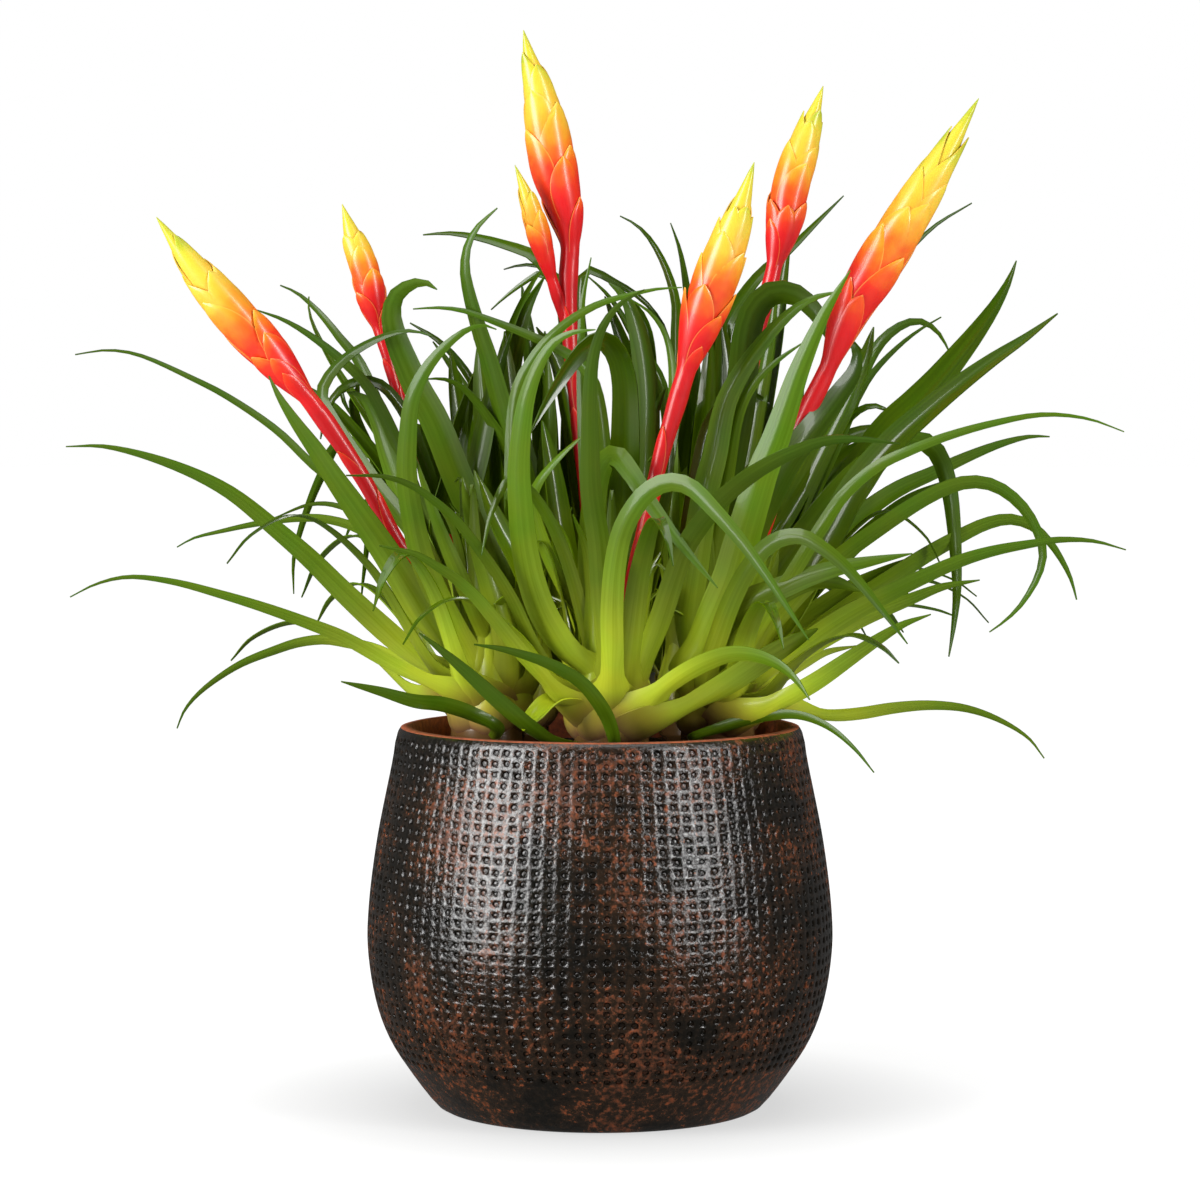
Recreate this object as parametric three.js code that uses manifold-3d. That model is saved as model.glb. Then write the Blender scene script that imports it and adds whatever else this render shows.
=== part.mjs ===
// Flaming sword bromeliad: a clump of six flowering rosettes in a glazed clay pot.
// Millimetres, +Z up. The origin is on the floor under the middle of the pot and the
// front of the plant is at -Y. Every leaf and bract is a closed blade; the blades of a
// rosette are fused to its stem, and so are the bracts of a flower spike to its scape.
import * as THREE from 'three';
import { mergeVertices } from 'three/addons/utils/BufferGeometryUtils.js';
import Module from 'manifold-3d';

const wasm = await Module();
wasm.setup();

// ---------- driving dimensions ----------
const GAP = 0.4; // between pieces that touch
const POT_SIDES = 36;
const POT_HEIGHT = 267;
const POT_FLOOR = 14;
const DRAIN_RADIUS = 7; // drainage holes through the floor, evenly spaced on a ring
const DRAIN_RING = 45;
const DRAIN_HOLES = 3;
// outer radius of the pot at each height, from the foot to the rim
const POT_OUTLINE = [
  [109, 0], [113.5, 1.8], [136.5, 31], [148, 50], [157, 75], [162.6, 112], [162, 140],
  [156, 188], [144.5, 246], [142.3, 260], [140, 265.5],
];
// inner radius at each height, from the lip down to the floor
const POT_INSIDE = [
  [130.5, 262], [132.5, 246], [144, 188], [150.5, 125], [145, 75], [124, 31], [112, POT_FLOOR],
];
const RIM_FLAT = [137, 132]; // the rounded rim's flat top, outer and inner radius
const MIX_TOP = 247; // surface of the potting mix
const MIX_DOME = 2;
const HOLE_DEPTH = 30; // plain holes that the plants' stems stand in
const STEM_RADIUS = 14;
const CROWN_RADIUS = 27; // swollen stem above the mix, which the sheaths grow from
const CROWN_HEIGHT = 48;
const CROWN_SIDES = 14;
const SHEATH_WIDTH = 31;
const BLADE_FULLNESS = 1.22; // a blade's width over the width that it shows from the front
const BLADE_THICKNESS = 1.5;
const SHEATH_THICKNESS = 4;
const BLADE_STEP = 60; // length of one straight stretch of a blade
const FEWEST_STEPS = 4; // straight stretches in a short blade and in a long one
const MOST_STEPS = 7;
const INNER_BEND = 0.6; // share of a sideways bend's radius that a blade may fill
const BROAD_LEAF = 15; // a leaf this wide has its channel cut, a narrower one is three-sided
const SPIKE_SIDES = 7;
const SPIKE_STEPS = 9;
const BRACT_STEPS = 3;
const SPIRAL = 2.39996; // angle between one leaf or bract and the next, in radians
// Each leaf grows clear of the spikes and of the other plants' leaves: where it would cross
// one, it bends to the front or the back by the least of these steps that clears it.
const BENDS = [0, -6, 6, -12, 12, -18, 18, -26, 26, -36, 36, -48, 48, -62, 62];
const CROSSING = 0.001; // a shared volume under this, in cubic millimetres, is none
// After fusing, edges shorter than one of these are closed up. Corners that are nearer than
// one part of a millimetre in ROUNDING count as one.
const FINEST = [0.05, 0.02, 0.1, 0.03, 0.15, 0.01, 0.2, 0.3];
const ROUNDING = 1e4;

// The leaves and spikes are drawn on the front elevation and then given their depth.
// A drawn point is where the eye at EYE_DISTANCE in front sees it on the plane y = 0.
const EYE_DISTANCE = 2800;
const EYE_HEIGHT = 510;

function placed([across, height, depth]) {
  const spread = 1 + depth / EYE_DISTANCE;
  return new THREE.Vector3(across * spread, depth, EYE_HEIGHT - (EYE_HEIGHT - height) * spread);
}

// ---------- the six plants ----------
// centre of the rosette on the mix, its spike from crown to tip as [across, height, depth],
// where the bracts begin (share of the spike), their greatest radius and the scape's radius
const PLANTS = {
  left_front: {
    centre: [-78, -18],
    spike: [[-92, 318, -20], [-143.5, 399, -26], [-164.5, 439, -29], [-199, 490, -33],
      [-225, 521, -36], [-254, 553, -39], [-283, 587, -43], [-308, 621, -48]],
    head: 184, swell: 15.4, scape: 6, bracts: 12, turn: 0.4,
  },
  left_back: {
    centre: [-62, 58],
    spike: [[-76, 320, 60], [-118, 434, 66], [-140, 497, 70], [-149, 529, 72], [-154, 546, 73],
      [-164, 586, 75], [-173, 611, 76], [-179, 630, 77]],
    head: 104, swell: 11.9, scape: 4.2, bracts: 9, turn: 1.3,
  },
  middle_back: {
    centre: [2, 80],
    spike: [[0, 320, 80], [-10, 430, 78], [-20, 529, 74], [-22, 576, 72], [-21, 602, 70],
      [-25, 628, 69], [-31, 650, 68], [-36, 676, 67], [-42, 706, 66], [-49, 732, 65], [-53, 750, 64]],
    side: [[-23, 545, 73], [-29, 564, 68], [-34, 580, 63], [-43, 611, 56], [-51, 636, 51],
      [-59, 657, 48]],
    head: 178, swell: 17, scape: 6.2, bracts: 12, turn: 2.2,
  },
  middle_front: {
    centre: [8, -52],
    spike: [[13, 320, -54], [28, 392, -60], [42, 452, -66], [54.6, 496, -71], [65, 532, -75],
      [78, 571, -79], [94, 616, -84], [107, 659, -89]],
    head: 171, swell: 15.6, scape: 6, bracts: 12, turn: 5.4,
  },
  right_back: {
    centre: [68, 55],
    spike: [[74, 320, 58], [95, 450, 66], [108, 532, 72], [116, 565, 75], [122.5, 593, 77],
      [128, 618, 79], [132, 641, 81], [141, 670, 83], [154.7, 711.6, 86]],
    head: 152, swell: 14.6, scape: 5.3, bracts: 11, turn: 3.1,
  },
  right_front: {
    centre: [82, -14],
    spike: [[90, 320, -16], [133, 462, -24], [158, 515, -27], [176, 560, -30], [186, 576, -31],
      [202, 602, -33], [213, 620, -35], [227, 643, -37], [243, 670, -39], [262.5, 703, -42]],
    head: 238, swell: 17, scape: 6, bracts: 14, turn: 4.2,
  },
};

// The leaves that give the plant its outline: [plant, width, roll, points from the sheath to
// the tip as [across, height, depth]]. Roll turns the upper face towards the front.
const LEAVES = [
  ['left_front', 14, 50, [[-99, 291, -28], [-128, 315, -34], [-181, 366, -42], [-226, 405, -48],
    [-289, 442, -55], [-349, 464, -60], [-372, 462, -62]]],
  ['left_front', 12, 50, [[-105, 287, -50], [-146, 308, -62], [-200, 335, -78], [-262, 360, -92],
    [-328, 372, -105], [-370, 357, -114]]],
  ['left_front', 10, 40, [[-119, 298, -5], [-154, 319, 0], [-190, 327, 6], [-226, 321, 10],
    [-253, 309, 14], [-280, 291, 16], [-296, 265, 18]]],
  ['left_front', 12, 30, [[-88, 276, -62], [-104, 286, -85], [-125, 291, -108], [-154, 297, -130],
    [-181, 298, -150]]],
  ['left_front', 20, -35, [[-101, 298, -30], [-119, 341, -42], [-137, 373, -50], [-164, 408, -55],
    [-190, 444, -58], [-217, 480, -60], [-230, 511, -60]]],
  ['left_front', 14, 0, [[-91, 312, -38], [-112, 347, -52], [-131, 403, -70], [-140, 466, -90],
    [-134, 494, -98], [-123, 513, -104], [-108, 530, -108], [-91, 541, -110], [-72, 543, -110]]],
  ['left_front', 12, 0, [[-76, 320, -32], [-88, 350, -38], [-105, 380, -42], [-120, 422, -46]]],
  ['left_front', 10, 40, [[-118, 380, -5], [-160, 440, 5], [-188, 482, 8], [-195, 506, 8],
    [-187, 518, 6], [-159, 539, 0], [-128, 541, -8], [-117, 537, -10]]],
  ['left_back', 9, 40, [[-110, 320, 62], [-140, 354, 66], [-199, 448, 72], [-225, 473, 76],
    [-281, 508, 84], [-322, 526, 92], [-365, 526, 98]]],
  ['left_back', 10, 40, [[-105, 335, 60], [-145, 385, 66], [-167, 406, 70], [-209, 413, 78],
    [-264, 403, 88], [-295, 392, 94]]],
  ['left_back', 8, 40, [[-110, 350, 70], [-150, 400, 90], [-178, 419, 100], [-200, 422, 108],
    [-228, 412, 116]]],
  ['left_back', 12, 30, [[-95, 340, 66], [-125, 410, 80], [-158, 458, 92], [-182, 466, 100],
    [-194, 439, 108], [-203, 421, 112], [-215, 380, 116], [-213, 359, 118]]],
  ['left_back', 9, 30, [[-90, 350, 80], [-115, 410, 100], [-140, 436, 112], [-155, 425, 120],
    [-165, 373, 128], [-167, 354, 130]]],
  ['left_back', 16, 0, [[-63, 354, 46], [-85, 420, 42], [-108, 480, 38], [-128, 511, 34],
    [-143, 541, 30], [-145, 553, 29], [-142, 564, 27], [-132, 573, 24], [-110, 571, 20]]],
  ['left_back', 10, 30, [[-100, 360, 80], [-140, 450, 100], [-176, 529, 112], [-188, 544, 115],
    [-200, 560, 118], [-222, 574, 122]]],
  ['left_back', 11, 0, [[-95, 360, 72], [-135, 440, 80], [-185, 521, 88], [-195, 539, 90],
    [-202, 555, 92], [-202, 566, 93]]],
  ['left_back', 9, 30, [[-105, 360, 58], [-140, 440, 54], [-174, 513, 52], [-200, 537, 54],
    [-239, 557, 58]]],
  ['left_back', 11, 30, [[-58, 350, 38], [-62, 440, 34], [-58, 500, 32], [-49, 519, 31], [-36, 537, 30],
    [-23, 548, 29], [0, 560, 27], [21, 567, 25], [57, 572, 22]]],
  ['left_back', 11, 0, [[-62, 360, 88], [-75, 480, 104], [-66, 531, 110], [-48, 564, 114],
    [-38, 578, 116], [-30, 588, 118]]],
  ['middle_back', 17, 0, [[-28, 340, 62], [-45, 400, 54], [-64, 480, 46], [-80, 526, 40],
    [-91, 567, 35], [-93, 585, 33], [-91, 600, 31], [-85, 614, 29], [-71, 626, 27]]],
  ['middle_back', 12, 30, [[-25, 350, 70], [-50, 430, 60], [-67, 467, 52], [-83, 488, 46],
    [-95, 500, 42], [-121, 509, 36]]],
  ['middle_back', 14, 40, [[-8, 350, 100], [-8, 450, 116], [-20, 550, 130], [-45, 593, 136],
    [-64, 601, 138], [-85, 606, 140], [-123, 609, 144]]],
  ['middle_back', 11, 40, [[2, 350, 60], [4, 450, 48], [-6, 510, 42], [-21, 524, 40], [-38, 534, 38],
    [-54, 541, 36], [-80, 551, 33], [-130, 557, 28]]],
  ['middle_back', 12, 30, [[-14, 360, 104], [-22, 470, 124], [-30, 570, 136], [-42, 583, 141],
    [-54, 576, 146], [-76, 557, 152]]],
  ['middle_back', 8, 0, [[-2, 350, 62], [-12, 450, 56], [-15, 529, 52], [-14, 562, 51], [-6, 593, 50]]],
  ['middle_back', 11, 30, [[6, 360, 96], [-4, 480, 108], [-14, 560, 114], [-10, 584, 116],
    [12, 572, 120], [30, 545, 124], [41, 508, 128]]],
  ['middle_front', 11, 20, [[-26, 258, -92], [-46, 264, -112], [-66, 280, -124], [-85, 301, -134],
    [-105, 320, -142], [-125, 332, -148]]],
  ['middle_front', 13, 30, [[-21, 284, -66], [-44, 316, -84], [-64, 358, -98], [-88, 394, -112],
    [-113, 420, -124], [-141, 437, -134], [-177, 442, -146]]],
  ['middle_front', 11, 30, [[-24, 276, -78], [-36, 296, -94], [-56, 320, -110], [-76, 343, -124],
    [-95, 365, -136], [-129, 387, -152], [-154, 393, -162]]],
  ['middle_front', 17, 0, [[0, 305, -72], [-16, 330, -82], [-36, 360, -92], [-56, 390, -102],
    [-62, 426, -112], [-62, 459, -120], [-57, 488, -128], [-38, 526, -138], [-18, 543, -146],
    [-3, 543, -152]]],
  ['middle_front', 18, 0, [[12, 330, -36], [13, 368, -34], [15, 424, -38], [17, 480, -46],
    [12, 522, -56], [0, 537, -66], [-18, 525, -80], [-38, 495, -94], [-48, 471, -102]]],
  ['middle_front', 17, 0, [[7, 298, -80], [2, 340, -94], [-5, 385, -108], [-9, 424, -118],
    [-10, 459, -126], [-9, 490, -132], [-6, 518, -138], [5, 548, -144], [31, 570, -152]]],
  ['middle_front', 14, 30, [[8, 290, -96], [7, 320, -112], [5, 365, -128], [10, 403, -140],
    [29, 430, -152], [50, 439, -162], [69, 428, -172], [106, 383, -190], [132, 348, -202],
    [146, 327, -208]]],
  ['middle_front', 18, 20, [[-6, 330, -40], [-8, 400, -46], [2, 452, -62], [14, 460, -74],
    [23, 448, -86], [34, 427, -98], [59, 391, -118], [80, 366, -132]]],
  ['middle_front', 9, 20, [[8, 266, -104], [-1, 280, -124], [-17, 299, -142], [-36, 310, -160],
    [-66, 322, -184], [-88, 324, -202]]],
  ['middle_front', 12, 30, [[28, 270, -86], [43, 292, -104], [62, 308, -120], [80, 315, -134],
    [101, 318, -148], [121, 313, -160], [136, 302, -168], [147, 285, -174]]],
  ['middle_front', 15, 25, [[24, 291, -74], [38, 336, -90], [52, 369, -102], [64, 391, -110],
    [75, 412, -118], [85, 426, -124], [100, 439, -130], [115, 449, -136], [135, 460, -142],
    [158, 467, -148], [209, 464, -160]]],
  ['middle_front', 13, 30, [[-16, 340, -48], [-40, 390, -54], [-48, 424, -60], [-43, 437, -66],
    [-33, 453, -72], [-20, 464, -80], [-9, 471, -88]]],
  ['middle_front', 9, 30, [[-10, 330, -64], [-30, 400, -76], [-50, 432, -86], [-64, 438, -94],
    [-76, 422, -104], [-83, 386, -116]]],
  ['right_back', 10, 0, [[55, 360, 66], [48, 470, 84], [31, 526, 94], [20, 544, 98], [2, 568, 103],
    [-7, 579, 105]]],
  ['right_back', 9, 0, [[66, 380, 92], [67, 500, 118], [62, 590, 130], [55, 605, 132], [49, 617, 133]]],
  ['right_back', 14, 0, [[58, 370, 78], [50, 470, 100], [49, 541, 112], [51, 557, 114], [49, 576, 116],
    [36, 606, 119], [14, 622, 122]]],
  ['right_back', 10, 0, [[50, 360, 50], [48, 460, 56], [44, 541, 60], [34, 555, 61], [24, 563, 62]]],
  ['right_back', 15, 30, [[110, 350, 60], [140, 420, 70], [171, 504, 82], [179, 525, 85],
    [192, 539, 88], [206, 548, 91], [216, 551, 94], [227, 548, 97], [237, 539, 100], [244, 526, 103]]],
  ['right_back', 9, 30, [[105, 350, 52], [150, 450, 58], [189, 513, 62], [208, 534, 65],
    [237, 552, 68]]],
  ['right_back', 13, 0, [[74, 380, 80], [80, 480, 100], [85, 548, 112], [93, 567, 115], [111, 584, 119],
    [129, 593, 122], [160, 627, 128], [169, 636, 130]]],
  ['right_back', 17, 0, [[84, 380, 40], [97, 450, 32], [103, 508, 28], [104, 543, 25], [108, 560, 23],
    [119, 565, 20], [129, 568, 17], [139, 563, 14], [154, 539, 8]]],
  ['right_back', 8, 0, [[100, 380, 70], [150, 500, 90], [200, 580, 100], [231, 614, 106],
    [258, 631, 110]]],
  ['right_front', 11, 50, [[100, 270, -44], [116, 280, -62], [133, 281, -78], [154, 272, -90],
    [175, 256, -100], [192, 234, -108]]],
  ['right_front', 10, 50, [[118, 276, -24], [140, 280, -28], [162, 283, -33], [182, 285, -37],
    [216, 288, -42], [251, 284, -46], [279, 274, -50], [302, 257, -52], [311, 244, -54]]],
  ['right_front', 14, 0, [[56, 330, -30], [61, 380, -38], [69, 432, -44], [75, 448, -46],
    [84, 495, -50], [92, 513, -52], [103, 528, -55], [128, 553, -60], [168, 569, -66]]],
  ['right_front', 10, 0, [[76, 360, -34], [86, 440, -42], [97, 498, -48], [108, 511, -52],
    [123, 525, -56], [143, 535, -61]]],
  ['right_front', 19, 0, [[56, 300, -48], [69, 340, -62], [80, 366, -72], [95, 417, -86],
    [106, 443, -92], [115, 463, -97], [126, 487, -102], [136, 510, -107], [146, 535, -112],
    [157, 556, -116], [174, 584, -120]]],
  ['right_front', 18, -30, [[112, 319, 2], [158, 407, 8], [181, 443, 10], [205, 474, 12],
    [228, 496, 14], [244, 515, 15], [274, 553, 18], [292, 588, 20]]],
  ['right_front', 16, -30, [[119, 319, -26], [163, 404, -38], [181, 439, -42], [212, 469, -47],
    [228, 485, -50], [251, 504, -54], [297, 532, -62], [319, 553, -66]]],
  ['right_front', 9, 50, [[105, 326, -66], [154, 408, -90], [170, 432, -98], [193, 448, -106],
    [216, 460, -114], [239, 469, -120], [274, 479, -128], [309, 485, -136], [351, 479, -144],
    [365, 472, -146]]],
  ['right_front', 12, 40, [[122, 340, 14], [150, 376, 22], [177, 406, 28], [205, 427, 34],
    [228, 443, 38], [251, 451, 41], [286, 466, 46], [313, 469, 50]]],
  ['right_front', 12, 40, [[110, 350, -12], [150, 410, -14], [180, 445, -16], [205, 463, -18],
    [220, 466, -20], [234, 460, -22], [242, 448, -23], [249, 425, -25], [251, 397, -27],
    [250, 362, -28], [244, 315, -28]]],
  ['right_front', 9, 40, [[118, 330, -40], [150, 370, -52], [195, 405, -64], [231, 427, -72],
    [251, 436, -76], [274, 434, -80], [293, 422, -83], [304, 406, -85], [310, 390, -86],
    [306, 373, -87], [293, 353, -88], [272, 332, -88]]],
  ['right_front', 10, 40, [[112, 300, -10], [148, 330, -14], [188, 360, -18], [205, 373, -20],
    [228, 390, -22], [251, 404, -24], [274, 413, -26], [286, 413, -27], [302, 406, -28],
    [318, 390, -30], [328, 373, -31], [333, 355, -31]]],
  ['right_front', 11, 45, [[104, 290, -38], [135, 315, -54], [170, 343, -68], [205, 362, -80],
    [228, 373, -88], [251, 383, -94], [274, 390, -100], [321, 398, -110], [367, 390, -118]]],
  ['right_front', 10, 42, [[116, 291, -27], [150, 315, -34], [180, 338, -40], [216, 355, -45],
    [239, 364, -48], [265, 369, -52]]],
  ['right_front', 15, 40, [[103, 268, -58], [119, 280, -72], [147, 294, -88], [182, 318, -106],
    [212, 339, -120], [228, 345, -128]]],
  ['right_front', 8, 40, [[112, 285, -2], [142, 308, 4], [158, 318, 7], [179, 323, 10]]],
  ['right_front', 12, 40, [[74, 300, -62], [84, 340, -82], [94, 362, -94], [101, 376, -102],
    [114, 397, -112], [127, 402, -120], [142, 403, -128], [157, 397, -134], [173, 385, -140],
    [188, 368, -146], [204, 345, -152], [215, 324, -156]]],
  ['right_front', 17, 40, [[78, 325, -44], [84, 343, -56], [96, 356, -64], [116, 364, -74],
    [136, 372, -82], [161, 378, -90], [196, 382, -98], [218, 387, -103]]],
  ['right_front', 15, 0, [[100, 360, 4], [130, 410, 10], [150, 446, 13], [162, 466, 14], [170, 482, 15],
    [179, 492, 16], [190, 495, 17], [200, 491, 18], [206, 478, 19]]],
];

// The rest of each rosette follows the spiral that its leaves grow in: a fan of arching leaves
// on the open side (the compass direction in degrees, 0 = +X) and short upright ones inside.
const SIDE_SPIKE = { head: 100, swell: 8.8, scape: 4, bracts: 6 };
const FANS = {
  left_front: { seed: 11, arching: 4, upright: 4, facing: 200, sweep: 130, reach: [120, 200] },
  left_back: { seed: 23, arching: 7, upright: 4, facing: 108, sweep: 84, reach: [190, 290] },
  middle_back: { seed: 37, arching: 8, upright: 4, facing: 90, sweep: 100, reach: [190, 290] },
  middle_front: { seed: 41, arching: 2, upright: 4, facing: 270, sweep: 120, reach: [90, 150] },
  right_back: { seed: 59, arching: 8, upright: 4, facing: 70, sweep: 84, reach: [190, 290] },
  right_front: { seed: 67, arching: 3, upright: 3, facing: 340, sweep: 120, reach: [110, 190] },
};

// ---------- small helpers ----------
function seeded(seed) {
  let state = seed;
  return () => {
    state = (state + 0x6d2b79f5) | 0;
    let t = Math.imul(state ^ (state >>> 15), 1 | state);
    t = (t + Math.imul(t ^ (t >>> 7), 61 | t)) ^ t;
    return ((t ^ (t >>> 14)) >>> 0) / 4294967296;
  };
}

const between = (low, high, share) => low + (high - low) * share;
const eased = (from, to, value) => {
  const t = Math.min(1, Math.max(0, (value - from) / (to - from)));
  return t * t * (3 - 2 * t);
};

function toSolid(geometry) {
  const bare = geometry.clone();
  bare.deleteAttribute('normal');
  bare.deleteAttribute('uv');
  const merged = mergeVertices(bare, 1e-4);
  return new wasm.Manifold(new wasm.Mesh({
    numProp: 3,
    vertProperties: new Float32Array(merged.attributes.position.array),
    triVerts: new Uint32Array(merged.index.array),
  }));
}

function toGeometry(solid) {
  const mesh = solid.getMesh();
  const geometry = new THREE.BufferGeometry();
  geometry.setAttribute('position', new THREE.BufferAttribute(new Float32Array(mesh.vertProperties), 3));
  geometry.setIndex(new THREE.BufferAttribute(new Uint32Array(mesh.triVerts), 1));
  geometry.computeVertexNormals();
  return geometry;
}

const largestPiece = (solid) => solid.decompose()
  .reduce((best, piece) => (piece.volume() > best.volume() ? piece : best));

// True where each edge of a fused solid has two faces, also once its corners are rounded.
function closesUp(solid) {
  const { vertProperties, triVerts, numProp } = solid.getMesh();
  const corner = (v) => [0, 1, 2]
    .map((axis) => Math.round(vertProperties[v * numProp + axis] * ROUNDING)).join(' ');
  const count = new Map();
  for (let i = 0; i < triVerts.length; i += 3) {
    const names = [0, 1, 2].map((k) => corner(triVerts[i + k]));
    for (let k = 0; k < 3; k += 1) {
      const edge = [names[k], names[(k + 1) % 3]].sort().join(' ');
      count.set(edge, (count.get(edge) ?? 0) + 1);
    }
  }
  return [...count.values()].every((faces) => faces === 2);
}

// Closes up the shortest edges that fusing leaves, by the first measure that keeps it closed.
function tidied(solid) {
  const tries = FINEST.map((finest) => solid.simplify(finest));
  return tries.find(closesUp) ?? tries[0];
}

// Closes a row of rings, each with the same number of corners, into one skin. The last ring
// may be a single point. The sides before `back` and those from it on are split into triangles
// along the same diagonal, so that the two faces of a twisted blade stay apart.
function skinned(rings, back = Infinity) {
  const sides = rings[0].length;
  const corners = rings.flat().flatMap((point) => point.toArray());
  const faces = [];
  for (let i = 2; i < sides; i += 1) faces.push(0, i, i - 1);
  for (let ring = 1; ring < rings.length; ring += 1) {
    const low = (ring - 1) * sides;
    const high = ring * sides;
    for (let i = 0; i < sides; i += 1) {
      const next = (i + 1) % sides;
      if (rings[ring].length === 1) faces.push(low + i, low + next, high);
      else if (i < back) faces.push(low + i, low + next, high + next, low + i, high + next, high + i);
      else faces.push(low + i, low + next, high + i, low + next, high + next, high + i);
    }
  }
  const top = (rings.length - 1) * sides;
  if (rings[rings.length - 1].length > 1) {
    for (let i = 2; i < sides; i += 1) faces.push(top, top + i - 1, top + i);
  }
  const geometry = new THREE.BufferGeometry();
  geometry.setAttribute('position', new THREE.Float32BufferAttribute(corners, 3));
  geometry.setIndex(faces);
  const solid = toSolid(geometry);
  return solid.volume() >= 0 ? solid : toSolid(flipped(geometry));
}

function flipped(geometry) {
  const copy = geometry.clone();
  copy.index.array.reverse();
  return copy;
}

// ---------- blades ----------
// The points, directions and face normals along a blade's midrib. The blade starts with its
// upper face towards the rosette's axis and turns by `roll` degrees in its first third.
function midrib({ points, inward, roll }) {
  const curve = new THREE.CatmullRomCurve3(points, false, 'centripetal');
  curve.arcLengthDivisions = 400;
  const length = curve.getLength();
  const steps = Math.min(MOST_STEPS, Math.max(FEWEST_STEPS, Math.round(length / BLADE_STEP)));
  const stations = [];
  let normal = inward.clone();
  let forward = 0;
  for (let i = 0; i <= steps; i += 1) {
    const share = i / steps;
    const at = curve.getPointAt(share);
    const along = curve.getTangentAt(share);
    normal.addScaledVector(along, -normal.dot(along)).normalize();
    const across = along.clone().cross(normal);
    forward -= across.y;
    stations.push({ share, at, along, normal: normal.clone(), across });
  }
  const hand = forward < 0 ? -1 : 1;
  for (const station of stations) {
    const turn = THREE.MathUtils.degToRad(roll) * hand * eased(0.05, 0.4, station.share);
    station.normal.applyAxisAngle(station.along, -turn);
    station.across.applyAxisAngle(station.along, -turn);
  }
  return { stations, length };
}

function leafWidth(width, share, length) {
  const blade = BLADE_FULLNESS * width * (1 - 0.12 * share);
  const low = between(Math.max(1.9 * width, SHEATH_WIDTH), blade, eased(15, 100, share * length));
  return low * Math.pow(Math.max(0, 1 - Math.pow(share, 3.2)), 0.8);
}

// The most that a blade may reach to each side of station i before its sections would meet
// on the inner side of a sideways bend.
function roomInBend(stations, i) {
  const before = stations[Math.max(0, i - 1)];
  const after = stations[Math.min(stations.length - 1, i + 1)];
  const turn = Math.abs(after.along.clone().sub(before.along).dot(stations[i].across));
  return (INNER_BEND * after.at.distanceTo(before.at)) / Math.max(turn, 0.01);
}

// One leaf: a chevron section, deep at the sheath and shallow at the tip. `grow` makes it
// fatter all round, for the room it needs.
function leafSolid(leaf, grow = 0) {
  const { stations, length } = midrib(leaf);
  const rings = stations.map(({ share, at, normal, across }, i) => {
    if (share === 1) return [at.clone()];
    const half = Math.min(leafWidth(leaf.width, share, length) / 2, roomInBend(stations, i)) + grow;
    const thick = between(SHEATH_THICKNESS, BLADE_THICKNESS, eased(10, 80, share * length)) / 2 + grow;
    const rise = half * between(0.42, 0.2, eased(0.1, 0.5, share));
    const ring = [
      at.clone().addScaledVector(across, -half).addScaledVector(normal, rise),
      at.clone().addScaledVector(normal, -thick),
      at.clone().addScaledVector(across, half).addScaledVector(normal, rise),
    ];
    if (leaf.channelled) ring.push(at.clone().addScaledVector(normal, thick));
    return ring;
  });
  return skinned(rings, 2);
}

// A leaf's points from the crown outwards: it leaves the crown on the side that its first
// drawn point lies, with `shift` more depth towards its tip.
function drawnLeaf([plant, width, roll, drawn], shift = 0) {
  const [x, y] = PLANTS[plant].centre;
  const shifted = drawn.map(([across, height, depth], i) => (
    placed([across, height, depth + shift * eased(0, 3, i + 0.6)])));
  const side = new THREE.Vector3(shifted[0].x - x, shifted[0].y - y, 0).normalize();
  const root = new THREE.Vector3(x, y, MIX_TOP + 8).addScaledVector(side, 9);
  const shoulder = new THREE.Vector3(x, y, MIX_TOP + 24).addScaledVector(side, 17);
  const points = shifted[0].z < MIX_TOP + 38 ? [root, ...shifted] : [root, shoulder, ...shifted];
  return { points, width, roll, inward: side.clone().negate(), channelled: width >= BROAD_LEAF };
}

// A leaf by rule, in the direction `compass`, that climbs to `top` and reaches out by `reach`.
function ruledLeaf(plant, compass, reach, top, droop, width, roll) {
  const [x, y] = PLANTS[plant].centre;
  const side = new THREE.Vector3(Math.cos(compass), Math.sin(compass), 0);
  const point = (out, height) => new THREE.Vector3(x, y, height).addScaledVector(side, out);
  const rise = top - MIX_TOP;
  const points = [
    point(9, MIX_TOP + 8.3),
    point(19, MIX_TOP + 25),
    point(20 + 0.18 * reach, MIX_TOP + 0.42 * rise),
    point(20 + 0.42 * reach, MIX_TOP + 0.8 * rise),
    point(20 + 0.7 * reach, top),
    point(20 + 0.9 * reach, top - 0.4 * droop),
    point(20 + reach, top - droop),
  ];
  return { points, width, roll, inward: side.clone().negate() };
}

function ruledLeaves(plant) {
  const { seed, arching, upright, facing, sweep, reach } = FANS[plant];
  const draw = seeded(seed);
  const middle = THREE.MathUtils.degToRad(facing);
  const half = THREE.MathUtils.degToRad(sweep) / 2;
  const leaves = [];
  for (let i = 0; i < arching; i += 1) {
    const place = ((i * 0.618034) % 1) * 2 - 1;
    const low = (i * 0.41 + 0.2) % 1;
    leaves.push(ruledLeaf(plant, middle + place * half, between(reach[0], reach[1], draw()),
      between(335, 470, low), between(10, 48, draw()), between(11, 15, draw()), between(-25, 25, draw())));
  }
  for (let i = 0; i < upright; i += 1) {
    leaves.push(ruledLeaf(plant, middle + i * SPIRAL, between(14, 44, draw()), between(370, 460, draw()),
      between(0, 8, draw()), between(12, 17, draw()), between(-15, 15, draw())));
  }
  return leaves;
}

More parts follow.
